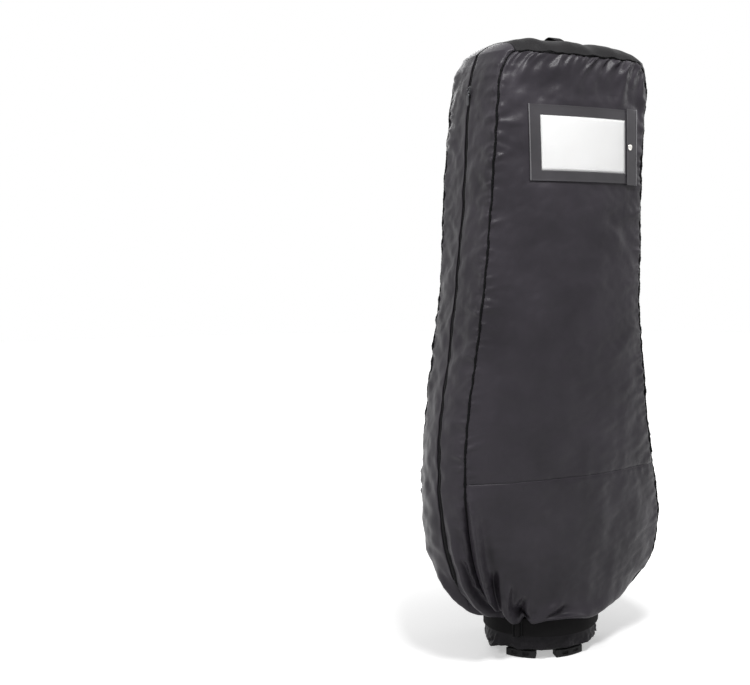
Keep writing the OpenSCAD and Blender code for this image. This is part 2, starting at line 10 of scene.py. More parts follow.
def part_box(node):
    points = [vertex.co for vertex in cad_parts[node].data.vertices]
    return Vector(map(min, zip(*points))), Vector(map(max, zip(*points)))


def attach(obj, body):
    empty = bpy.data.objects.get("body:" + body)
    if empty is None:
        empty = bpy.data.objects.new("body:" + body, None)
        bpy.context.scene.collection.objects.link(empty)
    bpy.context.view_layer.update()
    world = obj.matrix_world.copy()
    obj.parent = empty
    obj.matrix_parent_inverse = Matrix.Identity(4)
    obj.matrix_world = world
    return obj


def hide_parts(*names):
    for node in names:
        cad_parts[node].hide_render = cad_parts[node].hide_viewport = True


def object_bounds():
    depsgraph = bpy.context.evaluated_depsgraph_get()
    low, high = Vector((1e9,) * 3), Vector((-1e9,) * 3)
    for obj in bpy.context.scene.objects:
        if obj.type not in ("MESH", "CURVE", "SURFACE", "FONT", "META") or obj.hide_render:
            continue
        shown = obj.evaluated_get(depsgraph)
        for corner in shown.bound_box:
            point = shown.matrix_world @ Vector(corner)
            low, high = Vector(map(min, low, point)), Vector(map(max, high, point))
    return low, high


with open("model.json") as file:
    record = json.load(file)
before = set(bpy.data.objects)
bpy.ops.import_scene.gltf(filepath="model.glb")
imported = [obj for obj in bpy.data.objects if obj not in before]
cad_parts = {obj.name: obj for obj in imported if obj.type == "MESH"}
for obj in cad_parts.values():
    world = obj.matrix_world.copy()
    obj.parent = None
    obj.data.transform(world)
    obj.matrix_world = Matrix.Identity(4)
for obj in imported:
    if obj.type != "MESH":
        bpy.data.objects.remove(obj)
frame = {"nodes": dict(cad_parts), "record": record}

# Travel cover for a golf bag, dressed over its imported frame. Metres, +Z up: the front (-Y) has
# the card pocket, -X has the zip and +X the hand slot.

cad_low, cad_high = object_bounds()
bpy.context.scene.view_settings.view_transform = "Standard"

# ---- Camera, floor and light ----

VIEW_TURN = math.radians(-33)
VIEW_TILT = math.radians(4.8)
VIEW_REACH = 2.45
EYE_HEIGHT = 0.857
LENS = 55.35
VIEW_SHIFT = -0.22

# How much of the white surroundings lights the object, and the height that the lamps aim at, as
# a share of the object's.
AMBIENT = 0.17
LAMP_AIM = 0.55
# Each lamp's name, turn round the object, height, distance, size and power.
LAMPS = (
    ("key", -16, 2.6, 1.1, 0.5, 44),
    ("zip_side_fill", -82, 2.0, 2.2, 0.7, 16),
    ("slot_side_fill", 85, 1.8, 2.3, 0.8, 7),
    ("back_fill", 165, 1.6, 2.4, 1.3, 20),
)


def camera():
    data = bpy.data.cameras.new("camera")
    data.lens = LENS
    data.shift_x = VIEW_SHIFT
    eye = bpy.data.objects.new("camera", data)
    eye.location = (math.sin(VIEW_TURN) * VIEW_REACH, -math.cos(VIEW_TURN) * VIEW_REACH, EYE_HEIGHT)
    eye.rotation_euler = (math.radians(90) - VIEW_TILT, 0, VIEW_TURN)
    bpy.context.scene.collection.objects.link(eye)
    bpy.context.scene.camera = eye


def softbox(name, turn, height, reach, size, power):
    """A square lamp, turned round the object and aimed at its middle."""
    data = bpy.data.lights.new(name, "AREA")
    data.shape = "SQUARE"
    data.size = size
    data.energy = power
    lamp = bpy.data.objects.new(name, data)
    turn = math.radians(turn)
    lamp.location = (math.sin(turn) * reach, -math.cos(turn) * reach, height)
    aim = Vector((0, 0, cad_high.z * LAMP_AIM)) - lamp.location
    lamp.rotation_euler = aim.to_track_quat("-Z", "Y").to_euler()
    bpy.context.scene.collection.objects.link(lamp)


def seen_directly(tree):
    """One where a camera, a mirror or glass looks, and nought where light is gathered."""
    path = tree.nodes.new("ShaderNodeLightPath")
    total = path.outputs["Is Camera Ray"]
    for name in ("Is Glossy Ray", "Is Transmission Ray"):
        more = tree.nodes.new("ShaderNodeMath")
        more.operation = "MAXIMUM"
        tree.links.new(total, more.inputs[0])
        tree.links.new(path.outputs[name], more.inputs[1])
        total = more.outputs[0]
    return total


def studio():
    world = bpy.data.worlds.new("studio")
    world.use_nodes = True
    bpy.context.scene.world = world
    tree = world.node_tree
    seen = seen_directly(tree)
    level = tree.nodes.new("ShaderNodeMapRange")
    level.inputs["To Min"].default_value = AMBIENT
    level.inputs["To Max"].default_value = 1.0
    tree.links.new(seen, level.inputs["Value"])
    tree.links.new(level.outputs[0], tree.nodes["Background"].inputs["Strength"])
    tree.nodes["Background"].inputs["Color"].default_value = (1, 1, 1, 1)
    for lamp in LAMPS:
        softbox(*lamp)


def floor():
    """A pale floor. It keeps the shadow near the object, and is as white as the backdrop
    further off."""
    mesh = bmesh.new()
    bmesh.ops.create_circle(mesh, cap_ends=True, radius=9, segments=96)
    piece = finished("floor", mesh)
    skin = new_material("floor", (0.82, 0.82, 0.82), 0.9)
    tree = skin.node_tree
    glow = tree.nodes.new("ShaderNodeEmission")
    both = tree.nodes.new("ShaderNodeAddShader")
    far = tree.nodes.new("ShaderNodeVectorMath")
    far.operation = "LENGTH"
    tree.links.new(tree.nodes.new("ShaderNodeTexCoord").outputs["Object"], far.inputs[0])
    rise = tree.nodes.new("ShaderNodeMapRange")
    rise.interpolation_type = "SMOOTHSTEP"
    for socket, value in (("From Min", 0.15), ("From Max", 1.1), ("To Min", 0.42), ("To Max", 1.0)):
        rise.inputs[socket].default_value = value
    tree.links.new(far.outputs["Value"], rise.inputs["Value"])
    level = tree.nodes.new("ShaderNodeMath")
    level.operation = "MULTIPLY"
    tree.links.new(rise.outputs[0], level.inputs[1])
    tree.links.new(seen_directly(tree), level.inputs[0])
    tree.links.new(level.outputs[0], glow.inputs["Strength"])
    tree.links.new(shader(skin).outputs[0], both.inputs[0])
    tree.links.new(glow.outputs[0], both.inputs[1])
    tree.links.new(both.outputs[0], tree.nodes["Material Output"].inputs["Surface"])
    piece.data.materials.append(skin)


# ---- Materials ----

def new_material(name, colour, roughness, **plain):
    """A Principled material. plain gives more of the shader's own sockets, by name."""
    skin = bpy.data.materials.new(name)
    skin.use_nodes = True
    sockets = shader(skin).inputs
    sockets["Base Color"].default_value = (*colour, 1)
    sockets["Roughness"].default_value = roughness
    for socket, value in plain.items():
        sockets[socket.replace("_", " ")].default_value = value
    return skin


def shader(skin):
    return skin.node_tree.nodes["Principled BSDF"]


class Group:
    """A shader node group being made, with named inputs and outputs."""

    def __init__(self, name, inputs, outputs):
        self.tree = bpy.data.node_groups.new(name, "ShaderNodeTree")
        for socket, value in inputs.items():
            kind = "NodeSocketVector" if value is None else "NodeSocketFloat"
            if isinstance(value, tuple):
                kind = "NodeSocketColor"
            made = self.tree.interface.new_socket(socket, in_out="INPUT", socket_type=kind)
            if value is not None:
                made.default_value = value
        for socket, kind in outputs.items():
            self.tree.interface.new_socket(socket, in_out="OUTPUT", socket_type=kind)
        self.start = self.tree.nodes.new("NodeGroupInput")
        self.end = self.tree.nodes.new("NodeGroupOutput")

    def link(self, source, target):
        self.tree.links.new(source, target)

    def math(self, operation, a, b=None, c=None):
        node = self.tree.nodes.new("ShaderNodeMath")
        node.operation = operation
        for socket, value in zip(node.inputs, (a, b, c)):
            if value is None:
                continue
            if isinstance(value, (int, float)):
                socket.default_value = value
            else:
                self.link(value, socket)
        return node.outputs[0]

    def scaled(self, place, factor):
        node = self.tree.nodes.new("ShaderNodeVectorMath")
        node.operation = "SCALE"
        self.link(place, node.inputs[0])
        self.link(factor, node.inputs["Scale"])
        return node.outputs[0]

    def parts(self, place):
        node = self.tree.nodes.new("ShaderNodeSeparateXYZ")
        self.link(place, node.inputs[0])
        return node.outputs

    def noise(self, place, scale, detail=2.0, roughness=0.5, distortion=0.0):
        node = self.tree.nodes.new("ShaderNodeTexNoise")
        self.link(place, node.inputs["Vector"])
        node.inputs["Scale"].default_value = scale
        node.inputs["Detail"].default_value = detail
        node.inputs["Roughness"].default_value = roughness
        node.inputs["Distortion"].default_value = distortion
        return node.outputs["Fac"]

    def mixed(self, amount, a, b):
        node = self.tree.nodes.new("ShaderNodeMix")
        node.data_type = "RGBA"
        self.link(amount, node.inputs["Factor"])
        self.link(a, node.inputs[6])
        self.link(b, node.inputs[7])
        return node.outputs[2]

    def spread(self, value, low, high):
        node = self.tree.nodes.new("ShaderNodeMapRange")
        self.link(value, node.inputs["Value"])
        node.inputs["From Min"].default_value = low
        node.inputs["From Max"].default_value = high
        return node.outputs[0]


FLOAT, COLOUR = "NodeSocketFloat", "NodeSocketColor"


def weave_group():
    """Plain weave of threads: Place in metres, Thread is the width of one thread."""
    g = Group("weave", {"Place": None, "Thread": 0.0006}, {"Height": FLOAT})
    x, y, _ = g.parts(g.start.outputs["Place"])
    across, along = (g.math("SINE", g.math("MULTIPLY", g.math("DIVIDE", way, g.start.outputs["Thread"]),
                                           math.pi)) for way in (x, y))
    raised = g.math("MULTIPLY_ADD", g.math("MULTIPLY", across, along), 0.35, 0.5)
    thickest = g.math("MAXIMUM", g.math("ABSOLUTE", across), g.math("ABSOLUTE", along))
    g.link(g.math("MULTIPLY", raised, thickest), g.end.inputs["Height"])
    return g.tree


def creases_group():
    """Fine creases of thin cloth, from large soft ones to a light crinkle."""
    g = Group("creases", {"Place": None, "Crinkle": 0.5}, {"Height": FLOAT})
    place = g.start.outputs["Place"]
    soft = g.noise(place, 22, 2, 0.5, 0.6)
    fine = g.noise(place, 95, 3, 0.55, 0.9)
    sharp = g.math("ABSOLUTE", g.math("SUBTRACT", fine, 0.5))
    height = g.math("MULTIPLY_ADD", sharp, g.start.outputs["Crinkle"], soft)
    g.link(height, g.end.inputs["Height"])
    return g.tree


def tone_group():
    """Base colour that drifts between two tones in large soft patches, with a light speckle."""
    g = Group("tone", {"Place": None, "Dark": (0, 0, 0, 1), "Light": (1, 1, 1, 1), "Scale": 6.0},
              {"Colour": COLOUR, "Patches": FLOAT})
    place = g.scaled(g.start.outputs["Place"], g.start.outputs["Scale"])
    patches = g.spread(g.noise(place, 1.0, 3, 0.55), 0.3, 0.7)
    g.link(g.mixed(patches, g.start.outputs["Dark"], g.start.outputs["Light"]), g.end.inputs["Colour"])
    g.link(patches, g.end.inputs["Patches"])
    return g.tree


def place_node(skin, source):
    """Where a pattern is read: the object's own metres, or the piece's cloth map."""
    tree = skin.node_tree
    if source == "cloth":
        node = tree.nodes.new("ShaderNodeUVMap")
        node.uv_map = "cloth"
        return node.outputs["UV"]
    return tree.nodes.new("ShaderNodeTexCoord").outputs["Object"]


def use_group(skin, tree, place, **values):
    node = skin.node_tree.nodes.new("ShaderNodeGroup")
    node.node_tree = tree
    skin.node_tree.links.new(place, node.inputs["Place"])
    for socket, value in values.items():
        node.inputs[socket].default_value = value
    return node.outputs


def bump(skin, height, strength, distance, under=None):
    """Bump from a height, on top of another bump where one is given."""
    tree = skin.node_tree
    node = tree.nodes.new("ShaderNodeBump")
    node.inputs["Strength"].default_value = strength
    node.inputs["Distance"].default_value = distance
    tree.links.new(height, node.inputs["Height"])
    if under is not None:
        tree.links.new(under, node.inputs["Normal"])
    tree.links.new(node.outputs[0], shader(skin).inputs["Normal"])
    return node.outputs[0]


def woven_material(name, dark, light, thread, roughness, crinkle=0.4, crease=0.0012, **plain):
    """Cloth or webbing: two tones in soft patches, creases, and the threads themselves."""
    skin = new_material(name, light, roughness, **plain)
    tree = skin.node_tree
    cloth, solid = place_node(skin, "cloth"), place_node(skin, "object")
    tone = use_group(skin, groups["tone"], solid, Dark=(*dark, 1), Light=(*light, 1), Scale=7.0)
    tree.links.new(tone["Colour"], shader(skin).inputs["Base Color"])
    creases = use_group(skin, groups["creases"], solid, Crinkle=crinkle)
    under = bump(skin, creases["Height"], 0.8, crease)
    threads = use_group(skin, groups["weave"], cloth, Thread=thread)
    bump(skin, threads["Height"], 0.35, thread * 0.35, under)
    rough = tree.nodes.new("ShaderNodeMapRange")
    tree.links.new(tone["Patches"], rough.inputs["Value"])
    rough.inputs["To Min"].default_value = roughness - 0.05
    rough.inputs["To Max"].default_value = roughness + 0.06
    tree.links.new(rough.outputs[0], shader(skin).inputs["Roughness"])
    return skin


def moulded_material(name, dark, light, roughness, grain=0.0002, **plain):
    """Moulded plastic, rubber or vinyl with a fine grain."""
    skin = new_material(name, light, roughness, **plain)
    solid = place_node(skin, "object")
    tone = use_group(skin, groups["tone"], solid, Dark=(*dark, 1), Light=(*light, 1), Scale=14.0)
    skin.node_tree.links.new(tone["Colour"], shader(skin).inputs["Base Color"])
    creases = use_group(skin, groups["creases"], solid, Crinkle=1.0)
    bump(skin, creases["Height"], 0.5, grain)
    return skin


def make_materials():
    return {
        "cover_nylon": woven_material("cover_nylon", (0.023, 0.0204, 0.0253), (0.041, 0.0366, 0.0445),
                                      0.0005, 0.37, Specular_IOR_Level=0.17),
        "top_nylon": woven_material("top_nylon", (0.007, 0.0066, 0.0073), (0.012, 0.0113, 0.0125),
                                    0.0006, 0.5, Specular_IOR_Level=0.12),
        "hem_nylon": woven_material("hem_nylon", (0.011, 0.0102, 0.0118), (0.017, 0.0158, 0.0182),
                                    0.0006, 0.5, Specular_IOR_Level=0.1),
        "piping": woven_material("piping", (0.003, 0.003, 0.0033), (0.006, 0.006, 0.0066),
                                 0.0006, 0.5, Specular_IOR_Level=0.06),
        "webbing": woven_material("webbing", (0.006, 0.0057, 0.0060), (0.0105, 0.0100, 0.0104),
                                  0.0014, 0.75, crinkle=0.2, crease=0.0004,
                                  Specular_IOR_Level=0.08),
        "zip_tape": woven_material("zip_tape", (0.018, 0.0174, 0.0188), (0.027, 0.0261, 0.0282),
                                   0.0008, 0.65, crinkle=0.2, crease=0.0003,
                                   Specular_IOR_Level=0.08),
        "zip_coil": moulded_material("zip_coil", (0.005, 0.005, 0.0055), (0.009, 0.009, 0.010), 0.4,
                                     Specular_IOR_Level=0.2),
        "zip_metal": moulded_material("zip_metal", (0.05, 0.05, 0.055), (0.09, 0.09, 0.095), 0.32,
                                      Metallic=0.85),
        "pocket_vinyl": moulded_material("pocket_vinyl", (0.036, 0.034, 0.038),
                                         (0.054, 0.051, 0.057), 0.36, grain=0.0003,
                                         Specular_IOR_Level=0.35),
        # Light grey for the beads at the card pocket's side edges: a painted highlight where those vinyl
        # edges catch the light.
        "pocket_edge_highlight": moulded_material("pocket_edge_highlight", (0.14, 0.137, 0.144), (0.20, 0.196, 0.206),
                                        0.35, grain=0.0001),
        "card": moulded_material("card", (0.87, 0.87, 0.862), (0.91, 0.91, 0.904), 0.7),
        "snap_metal": moulded_material("snap_metal", (0.72, 0.70, 0.66), (0.82, 0.80, 0.76), 0.22,
                                       grain=0.00002, Metallic=1.0),
        "buckle": moulded_material("buckle", (0.003, 0.003, 0.0033), (0.005, 0.005, 0.0055), 0.35,
                                   Specular_IOR_Level=0.08),
        "bag_plastic": moulded_material("bag_plastic", (0.010, 0.010, 0.0105),
                                        (0.016, 0.016, 0.017), 0.5,
                                        Specular_IOR_Level=0.2),
        "bag_rubber": moulded_material("bag_rubber", (0.016, 0.016, 0.0165), (0.026, 0.026, 0.027),
                                       0.68, Specular_IOR_Level=0.15),
        "bag_fabric": woven_material("bag_fabric", (0.012, 0.0125, 0.013), (0.02, 0.021, 0.022),
                                     0.0009, 0.75, Specular_IOR_Level=0.15),
        "grip": moulded_material("grip", (0.030, 0.036, 0.034), (0.045, 0.052, 0.049), 0.72),
        "red_piping": woven_material("red_piping", (0.28, 0.015, 0.02), (0.42, 0.03, 0.035),
                                     0.0005, 0.55),
        "thread": woven_material("thread", (0.012, 0.012, 0.013), (0.02, 0.02, 0.022), 0.0003, 0.6),
        "clear_vinyl": clear_vinyl(),
    }


def clear_vinyl():
    return new_material("clear_vinyl", (0.95, 0.95, 0.96), 0.12, Alpha=0.12)


# ---- Making pieces ----

BEVEL_ANGLE = math.radians(35)


def finished(name, mesh):
    """The bmesh as an object, in place and smooth shaded."""
    data = bpy.data.meshes.new(name)
    mesh.to_mesh(data)
    mesh.free()
    data.shade_smooth()
    piece = bpy.data.objects.new(name, data)
    bpy.context.scene.collection.objects.link(piece)
    return piece


def dress(piece, slot, body="cover", nodes=()):
    """Gives the piece its material and its body, and hides the CAD nodes that it stands for."""
    piece.data.materials.clear()
    piece.data.materials.append(materials[slot])
    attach(piece, body)
    if nodes:
        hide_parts(*nodes)
    return piece


def grid_piece(name, points, cut=None, capped=False):
    """A sheet through rows and columns of points, with a cloth map in metres. cut says which
    spots to leave open, and capped closes a tube's ends."""
    rows, cols = points.shape[:2]
    mesh = bmesh.new()
    bmesh.ops.create_grid(mesh, x_segments=cols - 1, y_segments=rows - 1, size=1)
    along = np.linalg.norm(np.diff(points, axis=0), axis=2).mean(axis=1).cumsum()
    across = np.linalg.norm(np.diff(points, axis=1), axis=2)
    cloth = np.zeros((rows, cols, 2))
    cloth[1:, :, 1] = along[:, None]
    cloth[:, 1:, 0] = across.cumsum(axis=1)
    cloth[:, :, 0] -= cloth[:, -1:, 0] / 2
    flat_points, flat_cloth = points.reshape(-1, 3), cloth.reshape(-1, 2)
    layer = mesh.loops.layers.uv.new("cloth")
    mesh.verts.ensure_lookup_table()
    for vert, point in zip(mesh.verts, flat_points.tolist()):
        vert.co = point
    flat_cloth = flat_cloth.tolist()
    for face in mesh.faces:
        for loop in face.loops:
            loop[layer].uv = flat_cloth[loop.vert.index]
    if cut:
        open_faces = [face for face in mesh.faces if cut(face.calc_center_median())]
        bmesh.ops.delete(mesh, geom=open_faces, context="FACES")
    bmesh.ops.remove_doubles(mesh, verts=mesh.verts, dist=0.00012)
    if capped:
        bmesh.ops.holes_fill(mesh, edges=[edge for edge in mesh.edges if edge.is_boundary], sides=0)
    return finished(name, mesh)


def thicken(piece, thickness):
    """Gives a sheet its thickness, inwards from the points it was made with."""
    solid = piece.modifiers.new("thickness", "SOLIDIFY")
    solid.thickness = thickness
    solid.offset = -1


def soften(piece, width, segments=2):
    bevel = piece.modifiers.new("rounded", "BEVEL")
    bevel.width = width
    bevel.segments = segments
    bevel.limit_method = "ANGLE"
    bevel.angle_limit = BEVEL_ANGLE


def spun(name, profile, steps, closed=False):
    """A round part, spun from its profile of radius and height. A closed profile makes a ring."""
    mesh = bmesh.new()
    verts = [mesh.verts.new((r, 0, z)) for r, z in profile]
    following = verts[1:] + verts[:1] if closed else verts[1:]
    edges = [mesh.edges.new(pair) for pair in zip(verts, following)]
    bmesh.ops.spin(mesh, geom=verts + edges, angle=2 * math.pi, steps=steps, axis=(0, 0, 1),
                   cent=(0, 0, 0), use_merge=True)
    bmesh.ops.remove_doubles(mesh, verts=mesh.verts, dist=1e-6)
    bmesh.ops.recalc_face_normals(mesh, faces=mesh.faces)
    return finished(name, mesh)


def rounded_block(name, size, place, radius, segments=3):
    mesh = bmesh.new()
    bmesh.ops.create_cube(mesh, size=1, matrix=place @ Matrix.Diagonal((*size, 1)))
    bmesh.ops.bevel(mesh, geom=mesh.edges[:], offset=radius, affect="EDGES", segments=segments,
                    profile=0.5, material=-1)
    return finished(name, mesh)


# ---- The cover's surface, read from the CAD walls ----

# How many places the cover's outline has round it, how far apart its levels are, and how many
# places lie between two corners of a CAD wall.
RING = 900
LEVEL_STEP = 0.003
FINE = 8
# Each wall's CAD nodes, from the foot up, and the way that it runs round the cover.
SIDES = {
    "front": (("front_lower_panel", "front_panel"), (1, 0)),
    "slot_front": (("slot_side_front",), (0, 1)),
    "slot_rear": (("slot_side_rear",), (0, 1)),
    "back": (("back_lower_panel", "back_panel"), (-1, 0)),
    "zip_rear": (("zip_side_rear",), (0, -1)),
    "zip_front": (("zip_side_front",), (0, -1)),
}


def node_corners(node):
    data = frame["nodes"][node].data
    corners = np.zeros(len(data.vertices) * 3)
    data.vertices.foreach_get("co", corners)
    return np.unique(corners.reshape(-1, 3).round(5), axis=0)


def wall_rows(nodes, direction):
    """Outer corners of a CAD wall, in rows by height. Each outer corner has an inner one the
    cloth's thickness behind it."""
    corners = np.unique(np.vstack([node_corners(node) for node in nodes]), axis=0)
    heights = np.unique(corners[:, 2].round(4))
    rows = []
    for height in heights:
        row = corners[abs(corners[:, 2] - height) < 1e-4, :2]
        apart = np.linalg.norm(row[:, None] - row[None], axis=2) + np.eye(len(row))
        behind = row[apart.argmin(axis=1)]
        outer = row[np.hypot(*row.T) > np.hypot(*behind.T)]
        rows.append(outer[np.argsort(outer @ direction)])
    return heights, np.array(rows)


def smooth_read(rows, knots, places):
    """Rows read between their knots, on a smooth curve through them."""
    slopes = np.gradient(rows, knots, axis=0)
    k = np.clip(np.searchsorted(knots, places, side="right") - 1, 0, len(knots) - 2)
    shape = (-1,) + (1,) * (rows.ndim - 1)
    span = (knots[k + 1] - knots[k]).reshape(shape)
    t = ((places - knots[k]) / (knots[k + 1] - knots[k])).reshape(shape)
    return ((2 * t**3 - 3 * t**2 + 1) * rows[k] + (t**3 - 2 * t**2 + t) * span * slopes[k]
            + (3 * t**2 - 2 * t**3) * rows[k + 1] + (t**3 - t**2) * span * slopes[k + 1])


def seam_softness(levels):
    """How far the section's corners are rounded at each level."""
    top = np.clip((levels - (TOP_Z - 0.09)) / 0.09, 0, 1)
    foot = np.clip((FOOT_Z + 0.08 - levels) / 0.08, 0, 1)
    return 0.0028 + 0.011 * top**2 + 0.009 * foot**2


def read_cover():
    """The cover's outline at every level, as RING places round it, and each wall's first place."""
    dense, starts, count = [], {}, 0
    for name, (nodes, direction) in SIDES.items():
        heights, rows = wall_rows(nodes, np.array(direction, float))
        levels = np.linspace(heights[0], heights[-1], round((heights[-1] - heights[0]) / LEVEL_STEP) + 1)
        fine = (rows.shape[1] - 1) * FINE
        steps = np.linspace(0, 1, rows.shape[1])
        across = smooth_read(rows.transpose(1, 0, 2), steps, np.linspace(0, 1, fine + 1))
        dense.append(smooth_read(across.transpose(1, 0, 2), heights, levels))
        starts[name] = count
        count += fine + 1
    outline = np.concatenate(dense, axis=1)
    closed = np.concatenate([outline, outline[:, :1]], axis=1)
    lengths = np.linalg.norm(np.diff(closed, axis=1), axis=2)
    travelled = np.concatenate([np.zeros((len(levels), 1)), lengths.cumsum(axis=1)], axis=1)
    places = np.arange(RING) / RING
    ring = np.empty((len(levels), RING, 2))
    for row in range(len(levels)):
        share = travelled[row] / travelled[row, -1]
        for axis in (0, 1):
            ring[row, :, axis] = np.interp(places, share, closed[row, :, axis])
    around = travelled[:, -1]
    softness = (seam_softness(levels) / around * RING)[:, None]
    waves = np.fft.rfftfreq(RING)[None]
    blur = np.exp(-2 * (math.pi * softness * waves) ** 2)[:, :, None]
    ring = np.fft.irfft(np.fft.rfft(ring, axis=1) * blur, RING, axis=1)
    marks = {name: travelled[:, start] / around for name, start in starts.items()}
    ends = {name: travelled[:, start + wall.shape[1] - 1] / around
            for wall, (name, start) in zip(dense, starts.items())}
    return levels, ring, around, marks, ends


FOOT_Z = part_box("front_lower_panel")[0].z
CROSS_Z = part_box("front_panel")[0].z
TOP_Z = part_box("front_panel")[1].z
DOME_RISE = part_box("top_panel")[1].z - TOP_Z
DOME_POWER = 5
CROWN_X = max(node_corners("top_panel").tolist(), key=lambda spot: spot[2])[0]
TOP_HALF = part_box("top_panel")[1].x - CROWN_X
# How far out the cloth's lower edge lies, over the belt.
HEM_REACH = 0.1295
CORNER_HEIGHT = 0.062
CORNER_INSET = 0.024

# The simulated cloth: the size of its cells, how much longer it is cut, how long it settles, and
# how far it may move.
CLOTH_CELL = 0.0095
CLOTH_SLACK = 0.07
CLOTH_FRAMES = 22
CLOTH_CAP = 0.009
CLOTH_SETTINGS = {
    "quality": 6, "mass": 0.15, "air_damping": 3.0, "tension_stiffness": 18,
    "compression_stiffness": 18, "shear_stiffness": 6, "bending_stiffness": 0.35,
    "vertex_group_mass": "held", "vertex_group_shrink": "slack", "shrink_max": -CLOTH_SLACK,
}

# Thicknesses, widths and reaches of the sewn parts.
CLOTH = 0.0009
PIPING_R = 0.0026
ZIP_FOOT = 0.137
ZIP_LAP = 0.0022
ZIP_STEP = 0.003
TOOTH_PITCH = 0.0023
BINDING_W = 0.016
TAB_MARGIN = 0.006
FOOT_LAP = 0.002
BELT_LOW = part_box("base_belt")[0].z

LEVELS, OUTLINE, AROUND, STARTS, ENDS = read_cover()
PLACES = np.arange(RING) / RING


def share_at(mark, heights):
    return np.interp(heights, LEVELS, mark)


def zip_share(heights):
    """Where the zip runs, midway between the two halves of its side."""
    return (share_at(ENDS["zip_rear"], heights) + share_at(STARTS["zip_front"], heights)) / 2


def length_share(length, heights):
    """A length along the cover's outline, as a share of the way round."""
    return length / np.interp(heights, LEVELS, AROUND)


def corner(heights):
    """How far the rounded top corner of a broad panel cuts in from its seam."""
    t = np.clip((heights - TOP_Z + CORNER_HEIGHT) / CORNER_HEIGHT, 0, 1)
    return length_share(CORNER_INSET * (1 - np.sqrt(1 - t * t * 0.999)), heights)


# ---- Folds, puckers and slack of the cloth, as one relief over the whole cover ----

def seam_share(side, last, heights):
    """The seam down the first or last edge of a broad panel, with its turn at the top corner."""
    if last:
        return share_at(ENDS[side], heights) - corner(heights)
    return share_at(STARTS[side], heights) + corner(heights)


def round_from(share):
    """Distance round the cover from one share at each level, to every place."""
    apart = (PLACES[None] - share[:, None] + 0.5) % 1.0 - 0.5
    return apart * AROUND[:, None]


def smooth_step(value, low, high):
    t = np.clip((value - low) / (high - low), 0, 1)
    return t * t * (3 - 2 * t)


def unit(way):
    return way / np.linalg.norm(way, axis=-1, keepdims=True)


def outward_of(points):
    """Outward directions of a surface whose rows close round the cover."""
    across = np.roll(points, -1, axis=1) - np.roll(points, 1, axis=1)
    return unit(np.cross(across, np.gradient(points, axis=0)))


def ripples(points, length, seed, count=26, stretch=(1, 1, 1)):
    """Soft random waves through space, of about one wavelength, with a spread of about one."""
    rng = np.random.default_rng(seed)
    total = np.zeros(points.shape[:-1])
    for _ in range(count):
        way = rng.normal(size=3)
        way *= 2 * math.pi / (length * rng.uniform(0.7, 1.5)) / np.linalg.norm(way)
        total += np.cos(points @ (way / np.array(stretch)) + rng.uniform(0, 2 * math.pi))
    return total / math.sqrt(count / 2)


def puckers(away, along, spacing, reach, height, width, seed, strength=1.0):
    """Short folds that start at a seam and fade away from it, one after another along it."""
    rng = np.random.default_rng(seed)
    lift = np.zeros(away.shape)
    band = (away > 0) & (away < 2.6 * reach)
    a, b = away[band], along[band]
    total = np.zeros(a.shape)
    near = 1 - np.exp(-(a / 0.005) ** 2)
    place, last = b.min(), b.max()
    while place < last:
        place += spacing * rng.uniform(0.55, 1.5)
        tall = height * rng.uniform(0.3, 1.0)
        far = reach * rng.uniform(0.5, 1.5)
        wide = width * rng.uniform(0.7, 1.4)
        slant = rng.uniform(-0.4, 0.4)
        off = (b - place - slant * a) / (wide * (1 + a / 0.05))
        close = abs(off) < 3
        total[close] += tall * np.exp(-off[close] ** 2 - (a[close] / far) ** 1.5)
    lift[band] = (total - height * 0.25 * np.exp(-(a / reach) ** 1.5)) * near
    return lift * strength


def crease(round_way, start, end, width, height):
    """A fold along a line between two points, each a way round and a height. It fades at both
    ends."""
    way = np.subtract(end, start)
    level = np.broadcast_to(LEVELS[:, None], round_way.shape)
    x, z = round_way - start[0], level - start[1]
    t = (x * way[0] + z * way[1]) / (way @ way)
    off = (x * way[1] - z * way[0]) / np.linalg.norm(way) / width
    fade = smooth_step(t, -0.1, 0.25) * (1 - smooth_step(t, 0.7, 1.15))
    return height * fade * (np.exp(-off**2) - 0.45 * np.exp(-((off - 1.6) ** 2)))


def blurred(field, spread, axis, wrap=False):
    """The field smoothed along one axis, by a spread in cells."""
    reach = int(3 * spread)
    steps = np.arange(-reach, reach + 1)
    weight = np.exp(-0.5 * (steps / spread) ** 2)
    field = np.moveaxis(field, axis, 0)
    before, after = field[-reach:], field[:reach]
    if not wrap:
        before, after = np.repeat(field[:1], reach, 0), np.repeat(field[-1:], reach, 0)
    padded = np.concatenate([before, field, after])
    total = sum(w * padded[k:k + len(field)] for k, w in enumerate(weight / weight.sum()))
    return np.moveaxis(total, 0, axis)


def cloth_columns(heights):
    """Shares of the way round for the columns of the simulated cloth, with one on every seam.
    Also which columns are seams, and which lie on the side panels."""
    turn = corner(heights)
    slot_mark = (share_at(ENDS["slot_front"], heights) + share_at(STARTS["slot_rear"], heights)) / 2
    seams = [share_at(STARTS["front"], heights) + turn, share_at(ENDS["front"], heights) - turn,
             slot_mark, share_at(STARTS["back"], heights) + turn,
             share_at(ENDS["back"], heights) - turn, zip_share(heights)]
    seams.append(seams[0] + 1)
    shares, seam_columns, side_columns = [], [], []
    for k, (start, end) in enumerate(zip(seams, seams[1:])):
        count = round(float(((end - start) * np.interp(heights, LEVELS, AROUND)).mean()) / CLOTH_CELL)
        steps = np.arange(count) / count
        shares.append(start[:, None] + (end - start)[:, None] * steps)
        seam_columns += [True] + [False] * (count - 1)
        side_columns += [k not in (0, 3)] * count
    return np.concatenate(shares, axis=1), np.array(seam_columns), np.array(side_columns)


